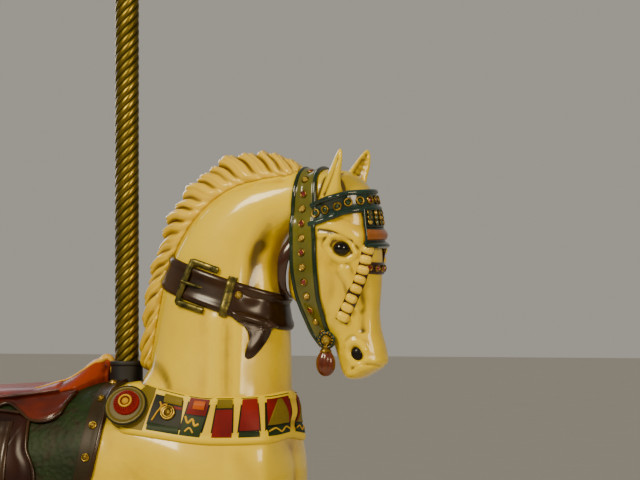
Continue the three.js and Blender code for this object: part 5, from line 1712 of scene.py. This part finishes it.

# The skirts and welts are a darker copy of the seat's paint: painted shade below the lit seat
shaded_skirt_paint = painted_carving("glossy_shaded_skirt_enamel", "#120301", "#2a0802", "#5a1a03",
                                   roughness=0.36, coat=0.3)
# Gilded paint: trim on the cantle's roll, and a painted highlight along the pommel's rim and lip
gilt_and_highlight_edge = painted_carving("gilded_saddle_edge_and_highlight", "#4a2a06", "#b08018", "#d0a840", roughness=0.3)
saddle_tree = tree_of(saddle_mesh)
cantle_edge = seat_points[-1, 1 + np.linspace(6, SEAT_COLUMNS - 7, 41).astype(int)] + [-10, 0, 3]
rolls = [tube(cantle_edge, 4.2, 10)]
welts = []
for side in (-1, 1):
    seam = seat_points[:, 1 if side < 0 else SEAT_COLUMNS]
    welts.append(tube(seam[seam[:, 0] < -110][:-4:3] + [0, side * 0.5, 1], 3.6, 10))
    # The gold along the pommel's rim is a painted highlight on its curved edge
    pommel_rim = through([
        (-172, 82, 1212), (-140, 66, 1219), (-112, 52, 1227), (-86, 36, 1246), (-68, 22, 1262),
        (-54, 14, 1270), (-44, 0, 1268),
    ], np.linspace(0, 1, 40))
    pommel_line = [landed(saddle_tree, (x, side * y, z), (0, side * 0.45, 0.9), 60)
                   for x, y, z in pommel_rim]
    thickness = np.interp(np.linspace(0, 1, 40), [0, 0.7, 0.88, 1], [1.4, 3.4, 7, 8])
    rolls.append(tube(pommel_line, thickness, 10))
# The gold on the pommel's lip and down its front is a painted highlight
nose = [landed(saddle_tree, (-44 + t * 8, 0, 1268 - t * 30), (1, 0, 0.3), 40) for t in np.linspace(0, 1, 12)]
rolls.append(tube(nose, np.linspace(8, 2.5, 12), 10))
piece("saddle_gilded_edges_and_highlights", joined(*rolls), gilt_and_highlight_edge, smooth_angle=60)
piece("saddle_seat_welts", joined(*welts), shaded_skirt_paint, smooth_angle=60)


# Saddle skirts and fenders
# The skirts are short flaps with a scalloped edge under the seat, and the fenders hang from them
# behind the stirrups. Both are carved over the cloth and have a dark rolled edge.
SKIRT = [
    (-74, 1192), (-84, 1174), (-88, 1156), (-104, 1142), (-129, 1137), (-156, 1141), (-184, 1158),
    (-214, 1172), (-240, 1164), (-268, 1148), (-300, 1139), (-336, 1139), (-366, 1150), (-384, 1172),
    (-388, 1188),
]
FENDER = [
    (-158, 1156), (-152, 1110), (-148, 1084), (-131, 1050), (-126, 1010), (-142, 972), (-174, 954),
    (-206, 949), (-238, 954), (-268, 972), (-284, 1010), (-278, 1060), (-268, 1110), (-264, 1156),
]
# The fenders are near black brown: their dark paint, and painted shade under the skirts
fender_brown_and_shade = painted_carving("dark_brown_and_shade_fender_enamel", "#050201", "#160602", "#2a0f05", 0.3, coat=0.15)
for name, side in (("right", -1), ("left", 1)):
    points = np.zeros((40, 12, 3))
    for i, (x, z) in enumerate(evenly(SKIRT, 40)):
        low = landed(cloth_tree, (x, side * 60, z), (0, side, 0), 200)
        for j, t in enumerate(np.linspace(0, 1, 12)):
            angle_low = math.atan2(abs(low[1]), low[2] - TRUNK_AXIS)
            angle = angle_low * (1 - t) + math.radians(22) * t
            out = Vector((0, side * math.sin(angle), math.cos(angle)))
            hit = cloth_tree.ray_cast(Vector((x, 0, TRUNK_AXIS)) * MM + out * 0.4, -out, 0.4)[0]
            points[i, j] = np.array(hit) / MM
    skirt_bed = (points, facing_of(points) * side)
    piece(f"carved_saddle_skirt_{name}", strap_of(skirt_bed, [6, 11, 9, 7.5, 7.5, 8, 8, 8, 8, 8], sunk=3),
          shaded_skirt_paint, [f"saddle_skirt_{name}"], 50)
    skirt_rim = tube(line_on(skirt_bed, np.linspace(0, 1, 80), 0, 6), 3.6, 10)
    fender_rings = draped(cloth_tree, FENDER, side, 16, 2)
    piece(f"carved_saddle_fender_{name}", slab(fender_rings, [1, 7, 8.5, 7, 6.5, 6.5, 6.5], (0, side, 0.08)),
          fender_brown_and_shade, [f"saddle_fender_{name}"], 50)
    fender_rim = tube(fender_rings[0] + [0, side * 5.0, 0], 3.6, 10, closed=True)
    piece(f"saddle_flap_edges_{name}", joined(skirt_rim, fender_rim), strap_leather,
          smooth_angle=60)


# Stirrups
# Cast brass stirrups hang from straps that come out under the skirts. Each is an arch that swells
# to a ribbed tread, with a bar at the top for its strap.
STIRRUP = (-206, 222, 862)
for name, side in (("right", -1), ("left", 1)):
    bed_points, bed_normals = np.zeros((40, 9, 3)), np.zeros((40, 9, 3))
    for i, z in enumerate(np.linspace(1140, 936, 40)):
        y = abs(landed(cloth_tree, (STIRRUP[0], side * 60, z), (0, side, 0), 200)[1]) + 8.5
        y += (219 - y) * np.clip((1010 - z) / 74, 0, 1) ** 1.5
        for j, share in enumerate(np.linspace(-0.5, 0.5, 9)):
            bed_points[i, j] = [STIRRUP[0] + 34 * share, side * y, z]
            bed_normals[i, j] = [0, side, 0]
    leather = strap_of((bed_points, bed_normals), [2, 5.5, 6, 5.5, 5, 5.5, 6, 5.5, 2], sunk=3)
    piece(f"stirrup_strap_{name}", leather, strap_leather, [f"stirrup_leather_{name}"])
    centre = STIRRUP * np.array([1, side, 1])
    arch = []
    for turn in np.radians(np.linspace(-52, 232, 60)):
        c, s = math.cos(turn), math.sin(turn)
        reach = 52 if s < 0.2 else 52 - 10 * (s - 0.2)
        arch.append(centre + [reach * c, 0, (61 if s > 0 else 58) * s])
    arch = np.array(arch)
    width = 6 + 5.5 * np.clip((STIRRUP[2] + 18 - arch[:, 2]) / 60, 0, 1)
    iron = tube(arch, width, 14, squash=0.6, flat=arch - centre)
    top_bar = tube([centre + [x, 0, 59 + 6 * math.cos(x / 20)] for x in np.linspace(-20, 20, 16)], 5.2, 12)
    outline = rounded([(-46, -24), (46, -24), (46, 24), (-46, 24)], 18, 8)
    levels = [(-62, 0.93), (-59, 1.0), (-50, 1.0), (-47, 0.96)]
    tread = np.array([centre + [x * share, y * share, z] for z, share in levels for x, y in outline])
    tread = tread * MM, ring_faces(len(levels), len(outline), "capped")
    ribs = [tube([centre + [x, y, -47] for y in (-19, 19)], 1.8, 8) for x in np.linspace(-36, 36, 9)]
    piece(f"cast_stirrup_{name}", joined(iron, top_bar, tread, *ribs), bronze_green,
          [f"stirrup_{name}"], 50)


# Girth
# A dark strap carved under the belly between the two sides of the cloth, with a brass buckle on
# each side.
GIRTH_X = -84
girth_places = [((GIRTH_X, 0, TRUNK_AXIS - 60), (0, math.sin(a), math.cos(a)), (-1, 0, 0), 48)
                for a in np.radians(np.linspace(88, 272, 120))]
girth_bed = laid(body_tree, girth_places, samples=13, drop=20, ease=3)
piece("carved_girth", strap_of(girth_bed, [3, 6, 6, 5, 4.5, 4.5, 4.5, 5, 6, 6, 3]), strap_leather, ["girth"],
      50)
girth_metal = []
for share in (0.2, 0.8):
    ring = line_on(girth_bed, share + 0.055 * np.array([-1, -1, -1, 0, 1, 1, 1, 0]),
                   0.5 + 0.56 * np.array([-1, 0, 1, 1, 1, 0, -1, -1]), 7)
    girth_metal.append(tube(evenly(np.vstack([ring, ring[:1]]), 49)[:-1], 4.2, 10, closed=True))
    tongue = line_on(girth_bed, share + np.linspace(-0.06, 0.045, 10), 0.5, 8)
    girth_metal.append(tube(tongue, 2.6, 8))
piece("girth_buckles", joined(*girth_metal), bronze_green)


# Studio
# A pale floor and backdrop, two soft boxes and a fill. The camera stands where the photographer
# stood: level, twenty degrees forward of the horse's right side.
AZIMUTH = math.radians(20)
SCALE = 2.07
PHOTO_WIDTH, PHOTO_HEIGHT = 640, 480
SENSOR = 36
POLE_PIXEL = (127, 396)
POLE_PIXEL_HEIGHT = 1190
DISTANCE = 12.0
right = Vector((math.cos(AZIMUTH), math.sin(AZIMUTH), 0))
back = Vector((math.sin(AZIMUTH), -math.cos(AZIMUTH), 0))
target = right * (PHOTO_WIDTH / 2 - POLE_PIXEL[0]) * SCALE * MM
target.z = (POLE_PIXEL_HEIGHT + (POLE_PIXEL[1] - PHOTO_HEIGHT / 2) * SCALE) * MM
lens = bpy.data.cameras.new("camera")
lens.sensor_width = SENSOR
lens.lens = SENSOR * DISTANCE / (PHOTO_WIDTH * SCALE * MM)
camera = in_scene("camera", lens)
camera.location = target + back * DISTANCE
camera.rotation_euler = (-back).to_track_quat("-Z", "Y").to_euler()
bpy.context.scene.camera = camera

m, place = new_material("pale_floor")
tone = add(m, "TexNoise", {"Vector": place, "Scale": 3.0, "Detail": 4.0})
pale_floor = surface(m, add(m, "BsdfPrincipled", {
    "Base Color": two_tones(m, tone, "#cfcac0", "#d8d3ca"),
    "Roughness": 0.8,
}))
corners = [(-60, -60, 0), (60, -60, 0), (60, 60, 0), (-60, 60, 0)]
floor = in_scene("floor", skin_of("floor", corners, [(0, 1, 2, 3)]))
floor.data.materials.append(pale_floor)

for name, place, size, power, tint in [
    ("soft_box_high", (-0.9, -3.4, 3.9), 1.4, 215, "#ffefcc"),
    ("soft_box_front", (3.4, -2.4, 2.6), 1.2, 90, "#ffe6c0"),
    ("fill", (-3.2, 2.8, 2.8), 2.6, 80, "#eef2ff"),
]:
    light = bpy.data.lights.new(name, "AREA")
    light.size = size
    light.energy = power
    light.color = srgb(tint)[:3]
    lamp = in_scene(name, light)
    lamp.location = place
    lamp.rotation_euler = (Vector((0.15, 0, 1.2)) - Vector(place)).to_track_quat("-Z", "Y").to_euler()

world = bpy.data.worlds.new("studio")
bpy.context.scene.world = world
world.use_nodes = True
world.node_tree.nodes["Background"].inputs[0].default_value = srgb("#e9e2d4")
world.node_tree.nodes["Background"].inputs[1].default_value = 0.45
